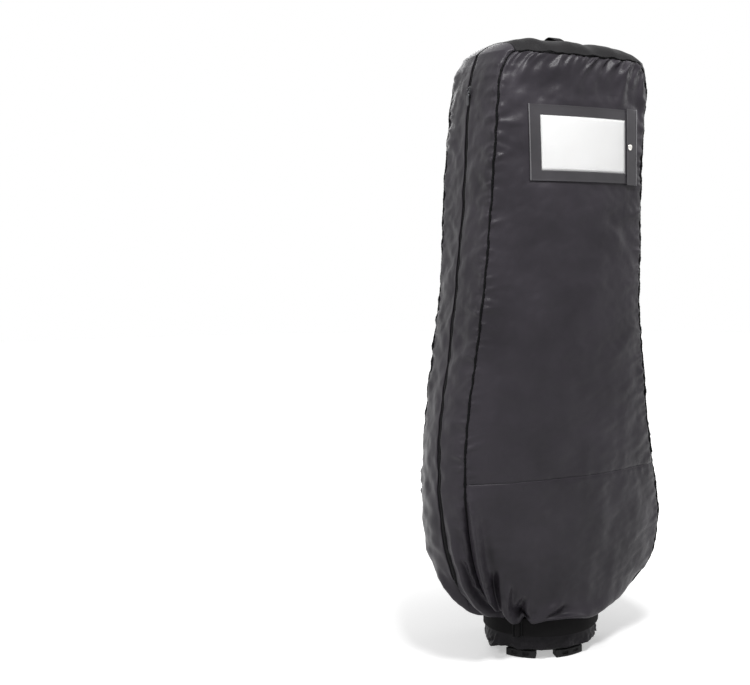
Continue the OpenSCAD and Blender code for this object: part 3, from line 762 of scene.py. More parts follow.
def cloth_study(start, heights, seams, sides):
    """The cloth to simulate, a closed ring of cells. It is held at its seams and at both ends,
    and has most slack on the side panels, at the top and at the foot."""
    rows, cols = start.shape[:2]
    mesh = bmesh.new()
    verts = [mesh.verts.new(spot) for spot in start.reshape(-1, 3).tolist()]
    for row in range(rows - 1):
        for col in range(cols):
            low, high = row * cols + col, row * cols + (col + 1) % cols
            mesh.faces.new((verts[low], verts[high], verts[high + cols], verts[low + cols]))
    piece = finished("cloth_study", mesh)
    held, slack = piece.vertex_groups.new(name="held"), piece.vertex_groups.new(name="slack")
    top, foot = smooth_step(heights, TOP_Z - 0.11, TOP_Z), 1 - smooth_step(heights, 0.14, 0.30)
    for row in range(rows):
        broad = 0.3 + 0.7 * max(top[row], foot[row])
        for part, weight in ((sides, 1.0), (~sides, float(broad))):
            slack.add([row * cols + int(col) for col in np.flatnonzero(part)], weight, "REPLACE")
        fixed = np.flatnonzero(seams) if 0 < row < rows - 1 else range(cols)
        held.add([row * cols + int(col) for col in fixed], 1.0, "REPLACE")
    return piece


def settled(piece):
    """Where the points of a cloth come to rest. The piece itself is removed."""
    cloth = piece.modifiers.new("cloth", "CLOTH")
    for setting, value in CLOTH_SETTINGS.items():
        setattr(cloth.settings, setting, value)
    cloth.settings.effector_weights.gravity = 0
    cloth.collision_settings.use_collision = False
    cloth.point_cache.frame_end = CLOTH_FRAMES
    scene = bpy.context.scene
    for moment in range(1, CLOTH_FRAMES + 1):
        scene.frame_set(moment)
    result = piece.evaluated_get(bpy.context.evaluated_depsgraph_get()).data
    spots = np.zeros(len(result.vertices) * 3)
    result.vertices.foreach_get("co", spots)
    scene.frame_set(1)
    data = piece.data
    bpy.data.objects.remove(piece)
    bpy.data.meshes.remove(data)
    return spots


def simulated_folds():
    """Folds of the cover's cloth from a cloth simulation. The cloth is cut larger than its
    shape and held at its seams, so it buckles between them. Gives how far it moves outwards, at
    every level and place."""
    heights = np.linspace(FOOT_Z, TOP_Z, round((TOP_Z - FOOT_Z) / CLOTH_CELL) + 1)
    shares, seams, sides = cloth_columns(heights)
    cols = len(seams)
    smooth = read_ring(OUTLINE, heights, shares)
    points = np.dstack([smooth, np.broadcast_to(heights[:, None], shares.shape)])
    out = outward_of(points)
    start = points + out * (0.0012 * ripples(points, 0.045, 21))[..., None]
    moved = settled(cloth_study(start, heights, seams, sides)).reshape(points.shape)
    lift = ((moved - points) * out).sum(axis=2)
    lift -= blurred(blurred(lift, 6, 1, True), 8, 0)
    lift = np.tanh(lift / CLOTH_CAP) * CLOTH_CAP * np.where(seams, 0.2, 1.0)
    fine = smooth_read(lift, heights, LEVELS)
    marks = smooth_read(shares, heights, LEVELS)
    steps, fine_steps = np.arange(cols + 1.0), np.linspace(0, cols, 6 * cols + 1)
    fine = smooth_read(np.hstack([fine, fine[:, :1]]).T, steps, fine_steps).T
    marks = smooth_read(np.hstack([marks, marks[:, :1] + 1]).T, steps, fine_steps).T
    return np.array([np.interp(PLACES, mark, row, period=1) for mark, row in zip(marks, fine)])


def read_ring(table, heights, shares):
    """Values of a table of levels and places, at rows of heights and shares."""
    level = np.clip((heights - LEVELS[0]) / (LEVELS[1] - LEVELS[0]), 0, len(LEVELS) - 1.001)
    low = level.astype(int)
    rise = (level - low)[:, None, None]
    place = (shares % 1.0) * RING
    first = place.astype(int) % RING
    step = (place - np.floor(place))[:, :, None]
    index = np.arange(len(heights))[:, None]
    lines = [row[index, first] * (1 - step) + row[index, (first + 1) % RING] * step
             for row in (table[low], table[low + 1])]
    return lines[0] * (1 - rise) + lines[1] * rise


# Puckers along a seam: the spacing, reach, height and width of the folds, and what their seed
# adds to the seam's.
SEAM_PUCKERS = ((0.020, 0.024, 0.0046, 0.0050, 0), (0.010, 0.010, 0.0026, 0.0028, 10))
TOP_PUCKERS = ((0.0095, 0.03, 0.0052, 0.0046, 20), (0.02, 0.06, 0.0056, 0.0046, 30))
CROSS_PUCKERS = (0.010, 0.012, 0.0014, 0.0032)
FOOT_PUCKERS = (0.021, 0.035, 0.0030, 0.0065)
# Folds that gather at the buckle. Each runs between two points, given as a way round from the
# front's first seam and a height, and then has its width and its height.
BUCKLE_FOLDS = (
    ((0.000, 0.085), (-0.002, 0.370), 0.0070, -0.0150),
    ((0.013, 0.088), (0.017, 0.350), 0.0110, 0.0120),
    ((-0.016, 0.088), (-0.040, 0.300), 0.0100, 0.0110),
    ((-0.006, 0.085), (-0.024, 0.230), 0.0055, -0.0120),
    ((0.004, 0.085), (0.042, 0.200), 0.0060, -0.0130),
    ((0.014, 0.085), (0.060, 0.170), 0.0075, 0.0130),
    ((0.022, 0.085), (0.084, 0.140), 0.0060, -0.0110),
    ((0.034, 0.086), (0.150, 0.122), 0.0070, 0.0110),
    ((0.046, 0.086), (0.330, 0.112), 0.0090, 0.0090),
    ((-0.030, 0.085), (-0.066, 0.190), 0.0060, -0.0100),
    ((-0.040, 0.088), (-0.100, 0.190), 0.0090, 0.0080),
)
# Folds drawn out from the hand slot's seams, on the back and on the front.
SLOT_FOLDS = {
    ("back", False): (
        ((0.004, 0.80), (0.120, 0.93), 0.0100, 0.0042),
        ((0.004, 0.74), (0.150, 0.83), 0.0110, 0.0046),
        ((0.004, 0.66), (0.140, 0.60), 0.0100, 0.0040),
        ((0.004, 0.58), (0.110, 0.47), 0.0100, 0.0036)),
    ("front", True): (
        ((-0.004, 0.78), (-0.100, 0.90), 0.0140, 0.0018),
        ((-0.004, 0.69), (-0.120, 0.62), 0.0140, 0.0020)),
}


def broad_edges(side):
    """Distances round the cover from both seams of a broad panel, to every place."""
    return [round_from(seam_share(side, last, LEVELS)) for last in (False, True)]


def calmed_folds(level):
    """The simulated folds, lower on the front, where the cloth lies calm, and on the zip side."""
    front_first, front_last = broad_edges("front")
    on_front = front_first * front_last < 0
    on_zip_side = (front_first < 0) & (broad_edges("back")[1] > 0)
    calm = np.where(on_front & (level < TOP_Z - 0.15), 0.4, 1.0)
    calm = np.where(on_zip_side, 0.75 - 0.4 * smooth_step(level, TOP_Z - 0.25, TOP_Z), calm)
    return simulated_folds() * calm * smooth_step(level, FOOT_Z, FOOT_Z + 0.02)


def seam_relief(level):
    """Puckers along the broad panels' side seams, top edges and cross seams, and the valleys in
    which the seams lie."""
    lift = np.zeros(level.shape)
    seed = 100
    below_corner = 1 - 0.7 * smooth_step(level, TOP_Z - 0.07, TOP_Z - 0.01)
    for side in ("front", "back"):
        first, last = broad_edges(side)
        for away in (first, -first, last, -last):
            seed += 1
            for *shape, seed_step in SEAM_PUCKERS:
                lift += puckers(away, level, *shape, seed + seed_step, below_corner)
        for away in (first, last):
            lift -= 0.0030 * np.exp(-(abs(away) / 0.0055) ** 1.5)
        inside = smooth_step(first, 0.0, 0.012) * (1 - smooth_step(last, -0.012, 0.0))
        slot_edge = -last if side == "front" else first
        deep = 0.9 + 1.3 * (1 - smooth_step(slot_edge, 0.05, 0.2))
        for *shape, seed_step in TOP_PUCKERS:
            lift += puckers(TOP_Z - level + 0.0002, first, *shape, seed + seed_step, inside * deep)
        for away in (level - CROSS_Z + 0.0001, CROSS_Z - level + 0.0001):
            seed += 1
            lift += puckers(away, first, *CROSS_PUCKERS, seed + 40, inside)
        lift -= 0.0016 * np.exp(-(abs(level - CROSS_Z) / 0.0035) ** 1.5) * inside
    return lift


def drawn_folds(level):
    """Folds gathered by the belt and its buckle, and drawn out from the hand slot."""
    around = PLACES[None] * np.interp(FOOT_Z, LEVELS, AROUND) + 0 * level
    lift = puckers(level - FOOT_Z + 0.0002, around, *FOOT_PUCKERS, 71)
    gathered = round_from(share_at(STARTS["front"], LEVELS))
    for fold in BUCKLE_FOLDS:
        lift += crease(gathered, *fold)
    for (side, last), folds in SLOT_FOLDS.items():
        from_seam = round_from(share_at((ENDS if last else STARTS)[side], LEVELS))
        for fold in folds:
            lift += crease(from_seam, *fold)
    return lift


def make_relief():
    """How far the cloth stands out from its smooth shape, at every level and place."""
    level = np.broadcast_to(LEVELS[:, None], (len(LEVELS), RING))
    points = np.dstack([OUTLINE, level])
    fade_high = 1 - smooth_step(level, TOP_Z - 0.03, TOP_Z)
    lift = 0.0012 * ripples(points, 0.16, 11, stretch=(1, 1, 1.6))
    lift += 0.0006 * ripples(points, 0.055, 12, stretch=(1, 1, 1.4))
    lift += 0.00022 * ripples(points, 0.02, 13, 40)
    lift *= smooth_step(level, FOOT_Z, FOOT_Z + 0.03) * fade_high
    lift += calmed_folds(level) * fade_high
    return lift + seam_relief(level) + drawn_folds(level)


def make_surface():
    """The cover's points with their relief, and its outward directions, at every level and
    place."""
    level = np.broadcast_to(LEVELS[:, None, None], (len(LEVELS), RING, 1))
    points = np.concatenate([OUTLINE, level], axis=2)
    outward = outward_of(points)
    relief = make_relief() * held_flat(points)
    return over_belt(points + outward * relief[:, :, None]), outward, points


def over_belt(points):
    """The cloth's foot sags over the belt that gathers it, least where the buckle is."""
    turn = np.arctan2(points[..., 1], points[..., 0])
    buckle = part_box("belt_buckle")[0]
    from_buckle = (1 - np.cos(turn - math.atan2(buckle.y, buckle.x))) / 2
    low = 1 - smooth_step(points[..., 2], FOOT_Z, FOOT_Z + 0.05)
    points[..., 2] -= low * (0.004 + 0.011 * smooth_step(from_buckle, 0.05, 0.5))
    reach = np.hypot(points[..., 0], points[..., 1])
    least = np.array([HEM_REACH, HEM_REACH + 0.004, HEM_REACH + 0.006])
    push = np.maximum(least[:, None] / reach[:3], 1)
    points[:3, :, :2] *= push[..., None]
    return points


def held_flat(points):
    """Nought where the stiff card pocket holds the cloth flat, and one away from it."""
    low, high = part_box("id_frame")
    x, y, z = points.transpose(2, 0, 1)
    off = np.maximum(np.maximum(low.x - x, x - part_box("id_flap_base")[1].x),
                     np.maximum(low.z - z, z - high.z))
    return np.where(y < 0, smooth_step(off, -0.004, 0.016), 1)


SURFACE, OUTWARD, SMOOTH = make_surface()


def cover_points(heights, shares, proud=0.0, table=None):
    """Points on the cover at rows of heights, each with its row of shares of the way round."""
    table = SURFACE if table is None else table
    points = read_ring(table, heights, shares)
    points += read_ring(OUTWARD, heights, shares) * np.asarray(proud)[..., None]
    points[..., 2] += (heights - np.clip(heights, LEVELS[0], LEVELS[-1]))[:, None]
    return points


def cover_outward(heights, shares):
    return cover_points(heights, shares, 1.0) - cover_points(heights, shares)


def dome_height(scale):
    """Height of the domed top, at a share of the way from its crown to its edge."""
    return TOP_Z + DOME_RISE * (1 - np.clip(scale, 0, 1) ** DOME_POWER)


def over_dome(ring, scale):
    """Points of the top outline moved in over the domed top, to a scale of their distance."""
    out = np.empty(ring.shape)
    out[..., 0] = CROWN_X + (ring[..., 0] - CROWN_X) * scale
    out[..., 1] = ring[..., 1] * scale
    out[..., 2] = dome_height(scale)
    return out


def fine_at_edges(count, grade=0.45):
    """Fractions from 0 to 1, closer together at both ends."""
    t = np.linspace(0, 1, count)
    return t - grade * np.sin(2 * math.pi * t) / (2 * math.pi)


def broad_panel(side, low, high, rows, cols, table=None):
    """Front or back panel between two heights, with rounded corners at the top."""
    heights = np.linspace(low, high, rows)
    start = share_at(STARTS[side], heights) + corner(heights)
    end = share_at(ENDS[side], heights) - corner(heights)
    across = fine_at_edges(cols)
    return cover_points(heights, start[:, None] + (end - start)[:, None] * across, 0.0, table)


def side_panel(side, rows, cols, shoulder_rows, inset=0.0, table=None):
    """One half of a side panel, up its wall and on over the shoulder to the top panel's edge.
    The two halves at the zip meet below it."""
    heights = np.linspace(FOOT_Z, TOP_Z, rows)
    seam_first = side.endswith("_front") == side.startswith("slot")
    start, end = share_at(STARTS[side], heights), share_at(ENDS[side], heights)
    closed = (1 - smooth_step(heights, ZIP_FOOT - 0.004, ZIP_FOOT + 0.010)) * (inset > 0)
    free_edge = length_share(inset, heights) * (1 - 0.9 * closed)
    if seam_first:
        end = end + (zip_share(heights) - end) * closed
        start, end = start - corner(heights), end + free_edge
    else:
        start = start + (zip_share(heights) - start) * closed
        start, end = start - free_edge, end + corner(heights)
    across = fine_at_edges(cols, 0.3)
    span = (end - start) % 1.0
    wall = cover_points(heights, start[:, None] + span[:, None] * across, 0.0, table)
    return np.concatenate([wall, over_shoulder(wall, shoulder_rows)])


def over_shoulder(wall, rows, proud=0.0, reach=None):
    """Rows that carry the top of a wall on over the dome, to a distance from its crown."""
    reach = TOP_HALF if reach is None else reach
    last = np.minimum(reach / abs(wall[-1, :, 0] - CROWN_X), 1)
    steps = np.linspace(0, 1, rows + 1)[1:, None]
    scale = 1 + (last - 1)[None] * steps
    shoulder = over_dome(np.broadcast_to(wall[-1], (rows, *wall[-1].shape)), scale)
    shoulder[..., 2] += proud * np.sin(steps * math.pi / 2)
    return shoulder


def top_points(rows, cols):
    """The domed top between the two shoulders, from its front edge to its back edge."""
    ring = OUTLINE[-1] - (CROWN_X, 0)
    turn = np.arctan2(ring[:, 1], ring[:, 0])
    order = np.argsort(turn)
    reach = np.hypot(*ring.T)
    xs = TOP_HALF * np.linspace(-1, 1, cols)
    front, back = ring[ring[:, 1] < 0], ring[ring[:, 1] > 0]
    front, back = front[np.argsort(front[:, 0])], back[np.argsort(back[:, 0])]
    y_front = np.interp(xs, front[:, 0], front[:, 1])
    y_back = np.interp(xs, back[:, 0], back[:, 1])
    t = (1 - np.cos(math.pi * np.linspace(0, 1, rows)))[:, None] / 2
    y = y_front * (1 - t) + y_back * t
    x = np.broadcast_to(xs, y.shape)
    edge = np.interp(np.arctan2(y, x), turn[order], reach[order], period=2 * math.pi)
    return np.dstack([x + CROWN_X, y, dome_height(np.hypot(x, y) / edge)])


def tube_points(path, radius, sides=10):
    """Rings of points round a path. The radius is one number, or one for each point."""
    path = np.asarray(path, float)
    heading = unit(np.gradient(path, axis=0))
    across = np.empty(path.shape)
    across[0] = unit(np.cross(heading[0], (0.3, 1, 0.2)))
    for k in range(1, len(path)):
        across[k] = unit(across[k - 1] - heading[k] * (across[k - 1] @ heading[k]))
    up = np.cross(heading, across)
    turn = np.linspace(0, 2 * math.pi, sides + 1)[None, :, None]
    reach = np.broadcast_to(radius, len(path))[:, None, None]
    return path[:, None] + reach * (across[:, None] * np.cos(turn) + up[:, None] * np.sin(turn))


def evenly(path, step):
    """The path with its points an even step apart."""
    path = np.asarray(path, float)
    travelled = np.concatenate([[0], np.linalg.norm(np.diff(path, axis=0), axis=1).cumsum()])
    marks = np.linspace(0, travelled[-1], max(2, round(travelled[-1] / step) + 1))
    return np.column_stack([np.interp(marks, travelled, path[:, axis]) for axis in range(3)]), marks


def line_on_cover(heights, shares, proud):
    """A line over the cover, from matching lists of heights and shares."""
    return cover_points(np.asarray(heights), np.asarray(shares)[:, None], proud)[:, 0]


def lines(*stops):
    """Grid lines that pass through each stop: stops alternate with the count between them."""
    parts = [np.linspace(stops[k], stops[k + 2], stops[k + 1] + 1)[:-1]
             for k in range(0, len(stops) - 2, 2)]
    return np.concatenate(parts + [[stops[-1]]])


# ---- The cover's cloth ----

# Rows and columns of the cover's cloth: the broad panels above and below their cross seam, half of
# a side panel and its shoulder, and the domed top, with the cells over which its folds fade out.
UPPER_GRID, LOWER_GRID = (340, 128), (130, 150)
SIDE_ROWS, SIDE_COLS, SHOULDER_ROWS = 420, {"zip": 36, "slot": 40}, 16
TOP_GRID, TOP_FADE = (90, 130), (12, 10)


def cover_piece(name, points, smooth, slot, nodes):
    """Cloth made with its folds. smooth, the same cloth without them, is not used."""
    piece = grid_piece(name + "_cloth", points)
    thicken(piece, CLOTH)
    dress(piece, slot, "cover", nodes)


def edge_fade(count, reach):
    """Nought at both ends of a run of cells, rising to one over a reach of them."""
    step = np.arange(count)
    return smooth_step(np.minimum(step, step[::-1]), 0, reach)


def make_cover():
    for side in ("front", "back"):
        for part, low, high, grid in ((side + "_panel", CROSS_Z, TOP_Z, UPPER_GRID),
                                      (side + "_lower_panel", FOOT_Z, CROSS_Z, LOWER_GRID)):
            cover_piece(part, broad_panel(side, low, high, *grid),
                        broad_panel(side, low, high, *grid, SMOOTH), "cover_nylon", (part,))
    for side, inset in (("zip", ZIP_LAP), ("slot", 0.0)):
        for half in ("front", "rear"):
            shape = (side + "_" + half, SIDE_ROWS, SIDE_COLS[side], SHOULDER_ROWS, inset)
            name = f"{side}_side_{half}"
            cover_piece(name, side_panel(*shape), side_panel(*shape, table=SMOOTH), "cover_nylon",
                        (name, side + "_side_top"))
    smooth = top_points(*TOP_GRID)
    top = smooth.copy()
    along, across = (edge_fade(*ends) for ends in zip(TOP_GRID, TOP_FADE))
    folds = 0.0015 * ripples(smooth, 0.045, 61, stretch=(1, 2.2, 1)) - 0.0012
    top[..., 2] += folds * along[:, None] * across[None]
    cover_piece("top_panel", top, smooth, "top_nylon", ("top_panel",))


def piping_route(side):
    """Up one seam of a broad panel, round its corners over the top, and down the other."""
    arc = np.radians(np.linspace(0, 90, 40))
    heights = np.concatenate([np.arange(FOOT_Z + 0.006, TOP_Z - CORNER_HEIGHT, 0.002),
                              TOP_Z - CORNER_HEIGHT * (1 - np.sin(arc))])
    rise, fall = seam_share(side, False, heights), seam_share(side, True, heights)
    first, last = rise[-1], fall[-1]
    over = np.linspace(first, first + (last - first) % 1.0, 180)[1:-1]
    heights = np.concatenate([heights, np.full(len(over), TOP_Z), heights[::-1]])
    return line_on_cover(heights, np.concatenate([rise, over, fall[::-1]]), 0.0008)


def make_piping():
    for side in ("front", "back"):
        path, marks = evenly(piping_route(side), 0.0016)
        pinch = ripples(path, 0.012, 31) + 0.8 * np.sin(marks / 0.0062 * 2 * math.pi)
        over_top = smooth_step(path[:, 2], TOP_Z - 0.05, TOP_Z - 0.01)
        radius = PIPING_R * (1 + 0.12 * pinch) * (1 - 0.35 * over_top)
        wander = np.column_stack([ripples(path, 0.03, seed) for seed in (32, 33, 34)])
        piece = grid_piece(side + "_piping_cord", tube_points(path + 0.0006 * wander, radius, 9),
                           capped=True)
        dress(piece, "piping", "cover", (side + "_piping",))


# ---- Zip ----

# How far the tape and the teeth lie behind the cloth, and the boxes that make a tooth: its body
# and the nib on it, each with its width, its length as a share of the pitch, and how proud it is.
TAPE_BACK, TOOTH_BACK = -0.0028, -0.0022
TOOTH_BOXES = ((0.0040, 0.0013 / 0.0017, 0.0), (0.0022, 0.0008 / 0.0017, 0.0006))
TOOTH_DEPTH = 0.0014


def zip_strip(offsets, proud):
    """Rows of points up the zip and over the shoulder, at distances to the front (+) of it."""
    heights = np.append(np.arange(ZIP_FOOT, TOP_Z - ZIP_STEP / 2, ZIP_STEP), TOP_Z)
    shares = zip_share(heights)[:, None] + length_share(np.array(offsets)[None], heights[:, None])
    wall = cover_points(heights, shares, proud)
    return np.concatenate([wall, over_shoulder(wall, 22, proud, TOP_HALF - 0.012)])


def make_zip():
    for half, sign in (("front", 1), ("rear", -1)):
        offsets = np.linspace(0.0006, 0.0135, 6) * sign
        tape = grid_piece(f"zip_tape_{half}_weave", zip_strip(np.sort(offsets), TAPE_BACK))
        thicken(tape, 0.0008)
        dress(tape, "zip_tape", "cover", ("zip_tape_" + half,))
    middle, _ = evenly(zip_strip([0.0], TOOTH_BACK)[:, 0], TOOTH_PITCH)
    edge, _ = evenly(zip_strip([0.003], TOOTH_BACK)[:, 0], TOOTH_PITCH)
    count = min(len(middle), len(edge))
    heading = unit(np.gradient(middle[:count], axis=0))
    side = unit(edge[:count] - middle[:count])
    outward = unit(np.cross(side, heading))
    teeth = bmesh.new()
    for k in range(count):
        sign = 1 if k % 2 else -1
        turn = Matrix((side[k] * sign, heading[k] * sign, outward[k])).transposed().to_4x4()
        spot = Matrix.Translation(middle[k] + side[k] * sign * 0.0013)
        for wide, tall, proud in TOOTH_BOXES:
            size = Matrix.Diagonal((wide, TOOTH_PITCH * tall, TOOTH_DEPTH, 1))
            lift = Matrix.Translation(Vector(outward[k] * proud))
            bmesh.ops.create_cube(teeth, size=1, matrix=lift @ spot @ turn @ size)
    piece = finished("zip_coil_teeth", teeth)
    soften(piece, 0.00025, 1)
    dress(piece, "zip_coil", "cover", ("zip_coil",))
    for name, row in (("zip_stop_bottom", 1), ("zip_stop_top", count - 2)):
        turn = Matrix((side[row], heading[row], outward[row])).transposed().to_4x4()
        stop = rounded_block(name + "_clip", (0.0070, 0.0045, 0.0022),
                             Matrix.Translation(middle[row] + outward[row] * 0.0007) @ turn, 0.0006)
        dress(stop, "zip_metal", "cover", (name,))


def joint_named(name):
    return next(joint for joint in frame["record"]["behaviour"]["joints"] if joint["name"] == name)


# The slider's plates, and how far out from the pull's pin each one lies, in millimetres.
PLATE = (0.0118, 0.0196, 0.0020)
PLATE_OUT = (("outer", -4.8), ("inner", -10.4))
# The bridge's route from the top plate and back, up the zip and outwards from the pin.
BRIDGE = ((-5.4, -4.0), (-5.2, -1.6), (-3.6, 0.6), (0, 1.7), (3.6, 0.6), (5.2, -1.6), (5.4, -4.0))
# Half of the pull tab's outline, across and down from the pin, and the tab's thickness.
TAB_OUTLINE = ((2.0, 2.6), (2.0, 8.0), (4.4, 11.0), (4.5, 27.0), (3.4, 29.6), (0, 30.2))
TAB_THICK = 1.6


def make_slider():
    """The slider's two plates, the web between them, and the bridge that carries the pull."""
    down = Vector(joint_named("zip_slide")["axis"])
    pivot = Vector(joint_named("pull_swing")["pos_m"])
    up = -down.normalized()
    side = Vector((0, -1, 0))
    out = side.cross(up)
    turn = Matrix((side, up, out)).transposed()

    def place(up_way, out_way):
        """Millimetres from the pull's pin, up the zip and outwards."""
        spot = up * (pivot.dot(up) * 1000 + up_way) + out * (pivot.dot(out) * 1000 + out_way)
        return Matrix.Translation(spot / 1000) @ turn.to_4x4()

    plates = []
    for name, out_way in PLATE_OUT:
        mesh = bmesh.new()
        bmesh.ops.create_cube(mesh, size=1, matrix=Matrix.Diagonal((*PLATE, 1)))
        upright = [e for e in mesh.edges if abs(e.verts[0].co.z - e.verts[1].co.z) > 0.001]
        bmesh.ops.bevel(mesh, geom=upright, offset=0.0046, affect="EDGES", segments=8, profile=0.5,
                        material=-1)
        for vert in mesh.verts:
            if vert.co.y < 0:
                vert.co.x *= 1 + vert.co.y * 26
        bmesh.ops.transform(mesh, matrix=place(0, out_way), verts=mesh.verts)
        plate = finished("zip_slider_" + name, mesh)
        soften(plate, 0.0005)
        plates.append(plate)
    plates.append(rounded_block("zip_slider_web", (0.0007, 0.005, 0.0056), place(7.2, -7.6),
                                0.0002, 1))
    bridge, _ = evenly([place(*spot).translation for spot in BRIDGE], 0.0007)
    plates.append(grid_piece("zip_slider_bridge", tube_points(bridge, 0.0011, 10), capped=True))
    for plate in plates:
        dress(plate, "zip_metal", "slider", ("zip_slider",))
    make_pull(pivot)


def make_pull(pivot):
    """The pull, a flat tab that hangs from a ring round its pin."""
    mesh = bmesh.new()
    half = [(across, along) for across, along in TAB_OUTLINE]
    outline = half + [(-across, along) for across, along in half[-2::-1]]
    face = mesh.faces.new([mesh.verts.new(pivot + Vector((TAB_THICK / 2, across, -along)) / 1000)
                           for across, along in outline])
    raised = bmesh.ops.extrude_face_region(mesh, geom=[face])["geom"]
    bmesh.ops.translate(mesh, vec=(-TAB_THICK / 1000, 0, 0),
                        verts=[vert for vert in raised if isinstance(vert, bmesh.types.BMVert)])
    bmesh.ops.recalc_face_normals(mesh, faces=mesh.faces)
    grip = finished("zip_pull_tab", mesh)
    soften(grip, 0.0005)
    dress(grip, "zip_metal", "pull", ("zip_pull",))
    ring = [pivot + Vector((math.sin(a), 0, math.cos(a))) * 0.0026
            for a in np.linspace(0, 2 * math.pi, 25)]
    eye = grid_piece("zip_pull_eye", tube_points(ring, 0.0009, 8))
    dress(eye, "zip_metal", "pull")


# ---- Card pocket ----

def front_share(xs, height):
    """Shares of the way round at which the front lies at each x."""
    row = int(round((height - LEVELS[0]) / (LEVELS[1] - LEVELS[0])))
    count = int(share_at(ENDS["front"], height) * RING)
    return np.interp(xs, SMOOTH[row, :count, 0], PLACES[:count])


def front_patch(xs, heights, proud):
    shares = np.array([front_share(xs, height) for height in heights])
    return cover_points(heights, shares, proud)


def ridge(off, width):
    return np.exp(-(off / width) ** 2)


def make_card_pocket():
    low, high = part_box("id_frame")
    hole_low, hole_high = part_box("id_window")
    xs = lines(low.x, 10, hole_low.x, 60, hole_high.x, 10, high.x)
    zs = lines(low.z, 8, hole_low.z, 36, hole_high.z, 8, high.z)
    x, z = np.meshgrid(xs, zs)
    outer = np.minimum(np.minimum(x - low.x, high.x - x), np.minimum(z - low.z, high.z - z))
    inner = np.maximum(np.maximum(hole_low.x - x, x - hole_high.x),
                       np.maximum(hole_low.z - z, z - hole_high.z))
    proud = 0.0022 + 0.0007 * ridge(outer, 0.0014) + 0.0004 * ridge(inner - 0.0015, 0.0012)

    def in_hole(spot):
        return hole_low.x < spot.x < hole_high.x and hole_low.z < spot.z < hole_high.z

    border = grid_piece("id_frame_border", front_patch(xs, zs, proud), cut=in_hole)
    thicken(border, 0.0016)
    soften(border, 0.0004)
    dress(border, "pocket_vinyl", "cover", ("id_frame",))
    for name, slot, proud, thick in (("id_window", "clear_vinyl", 0.0021, 0.0003),
                                     ("id_card", "card", 0.0013, 0.0004)):
        low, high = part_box(name)
        piece = grid_piece(name + "_sheet", front_patch(np.linspace(low.x, high.x, 40),
                                                        np.linspace(low.z, high.z, 24), proud))
        thicken(piece, thick)
        dress(piece, slot, "cover", (name,))


def highlight_bead(name, x, low, high, proud):
    """A thin light bead along a side of the card pocket: a painted highlight where the vinyl's edge
    catches the light.
    """
    heights = np.linspace(low, high, 90)
    path = front_patch([x], heights, proud)[:, 0]
    bead = grid_piece(name, tube_points(path, 0.0011, 8), capped=True)
    dress(bead, "pocket_edge_highlight")


def make_flap():
    low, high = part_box("id_flap")
    base_low, base_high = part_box("id_flap_base")
    xs, zs = np.linspace(low.x, high.x, 18), np.linspace(low.z, high.z, 60)
    x, z = np.meshgrid(xs, zs)
    outer = np.minimum(x - low.x, np.minimum(z - low.z, high.z - z))
    flap = grid_piece("id_flap_vinyl",
                      front_patch(xs, zs, 0.005 + 0.0005 * ridge(outer, 0.0014)))
    thicken(flap, 0.0011)
    soften(flap, 0.0004)
    dress(flap, "pocket_vinyl", "flap", ("id_flap",))
    xs = np.linspace(base_low.x, base_high.x, 6)
    base = grid_piece("id_flap_base_vinyl", front_patch(xs, zs, 0.005))
    thicken(base, 0.0040)
    soften(base, 0.0006)
    dress(base, "pocket_vinyl", "cover", ("id_flap_base",))
    # Painted highlights, as light beads, along the flap base's outer edge and the frame's left edge.
    highlight_bead("id_flap_base_edge_highlight", base_high.x - 0.0012, base_low.z, base_high.z, 0.0052)
    frame_low, frame_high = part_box("id_frame")
    highlight_bead("id_frame_edge_highlight", frame_low.x + 0.0016, frame_low.z, frame_high.z, 0.0027)
    make_snap()


# Profiles of the snap's cap and of its stud, as radius and height in millimetres.
SNAP_CAP = ((0, 0), (6.2, 0), (6.3, 0.5), (5.9, 0.9), (5.0, 1.1), (4.7, 1.5), (3.6, 1.75),
            (2.0, 1.6), (0, 1.5))
SNAP_STUD = ((0, 0), (4.5, 0), (4.5, 0.5), (2.2, 0.7), (2.0, 1.2), (1.5, 1.5), (0, 1.5))


def make_snap():
    """The flap's snap: a cap on the flap and a stud under it, square to the cloth there."""
    centre = sum(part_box("id_snap_cap"), Vector()) / 2
    share = front_share([centre.x], centre.z)
    out = Vector(cover_outward(np.array([centre.z]), share[None])[0, 0]).normalized()
    turn = out.to_track_quat("Z", "Y").to_matrix().to_4x4()
    foot = Vector(front_patch([centre.x], [centre.z], 0.0)[0, 0])
    for name, end, profile, proud, body in (("id_snap_cap", "_dome", SNAP_CAP, 0.005, "flap"),
                                            ("id_snap_stud", "_post", SNAP_STUD, 0.0019, "cover")):
        part = spun(name + end, [(r / 1000, h / 1000) for r, h in profile], 40)
        part.data.transform(Matrix.Translation(foot + out * proud) @ turn)
        dress(part, "snap_metal", body, (name,))


# ---- Hand slot ----

STITCH, STITCH_GAP, THREAD_WIDE = 0.0028, 0.0013, 0.0007


def stitches(path, proud_way):
    """A run of thread stitches along a path, each one a short rounded grain."""
    points, _ = evenly(path, STITCH + STITCH_GAP)
    mesh = bmesh.new()
    for first, second in zip(points, points[1:]):
        middle = (first + second) / 2
        heading = Vector(second - first).normalized()
        out = Vector(proud_way)
        side = heading.cross(out).normalized()
        turn = Matrix((heading, side, heading.cross(side) * -1)).transposed().to_4x4()
        shape = (Matrix.Translation(middle) @ turn
                 @ Matrix.Diagonal((STITCH, THREAD_WIDE, THREAD_WIDE, 1)))
        bmesh.ops.create_icosphere(mesh, subdivisions=1, radius=0.5, matrix=shape)
    return mesh


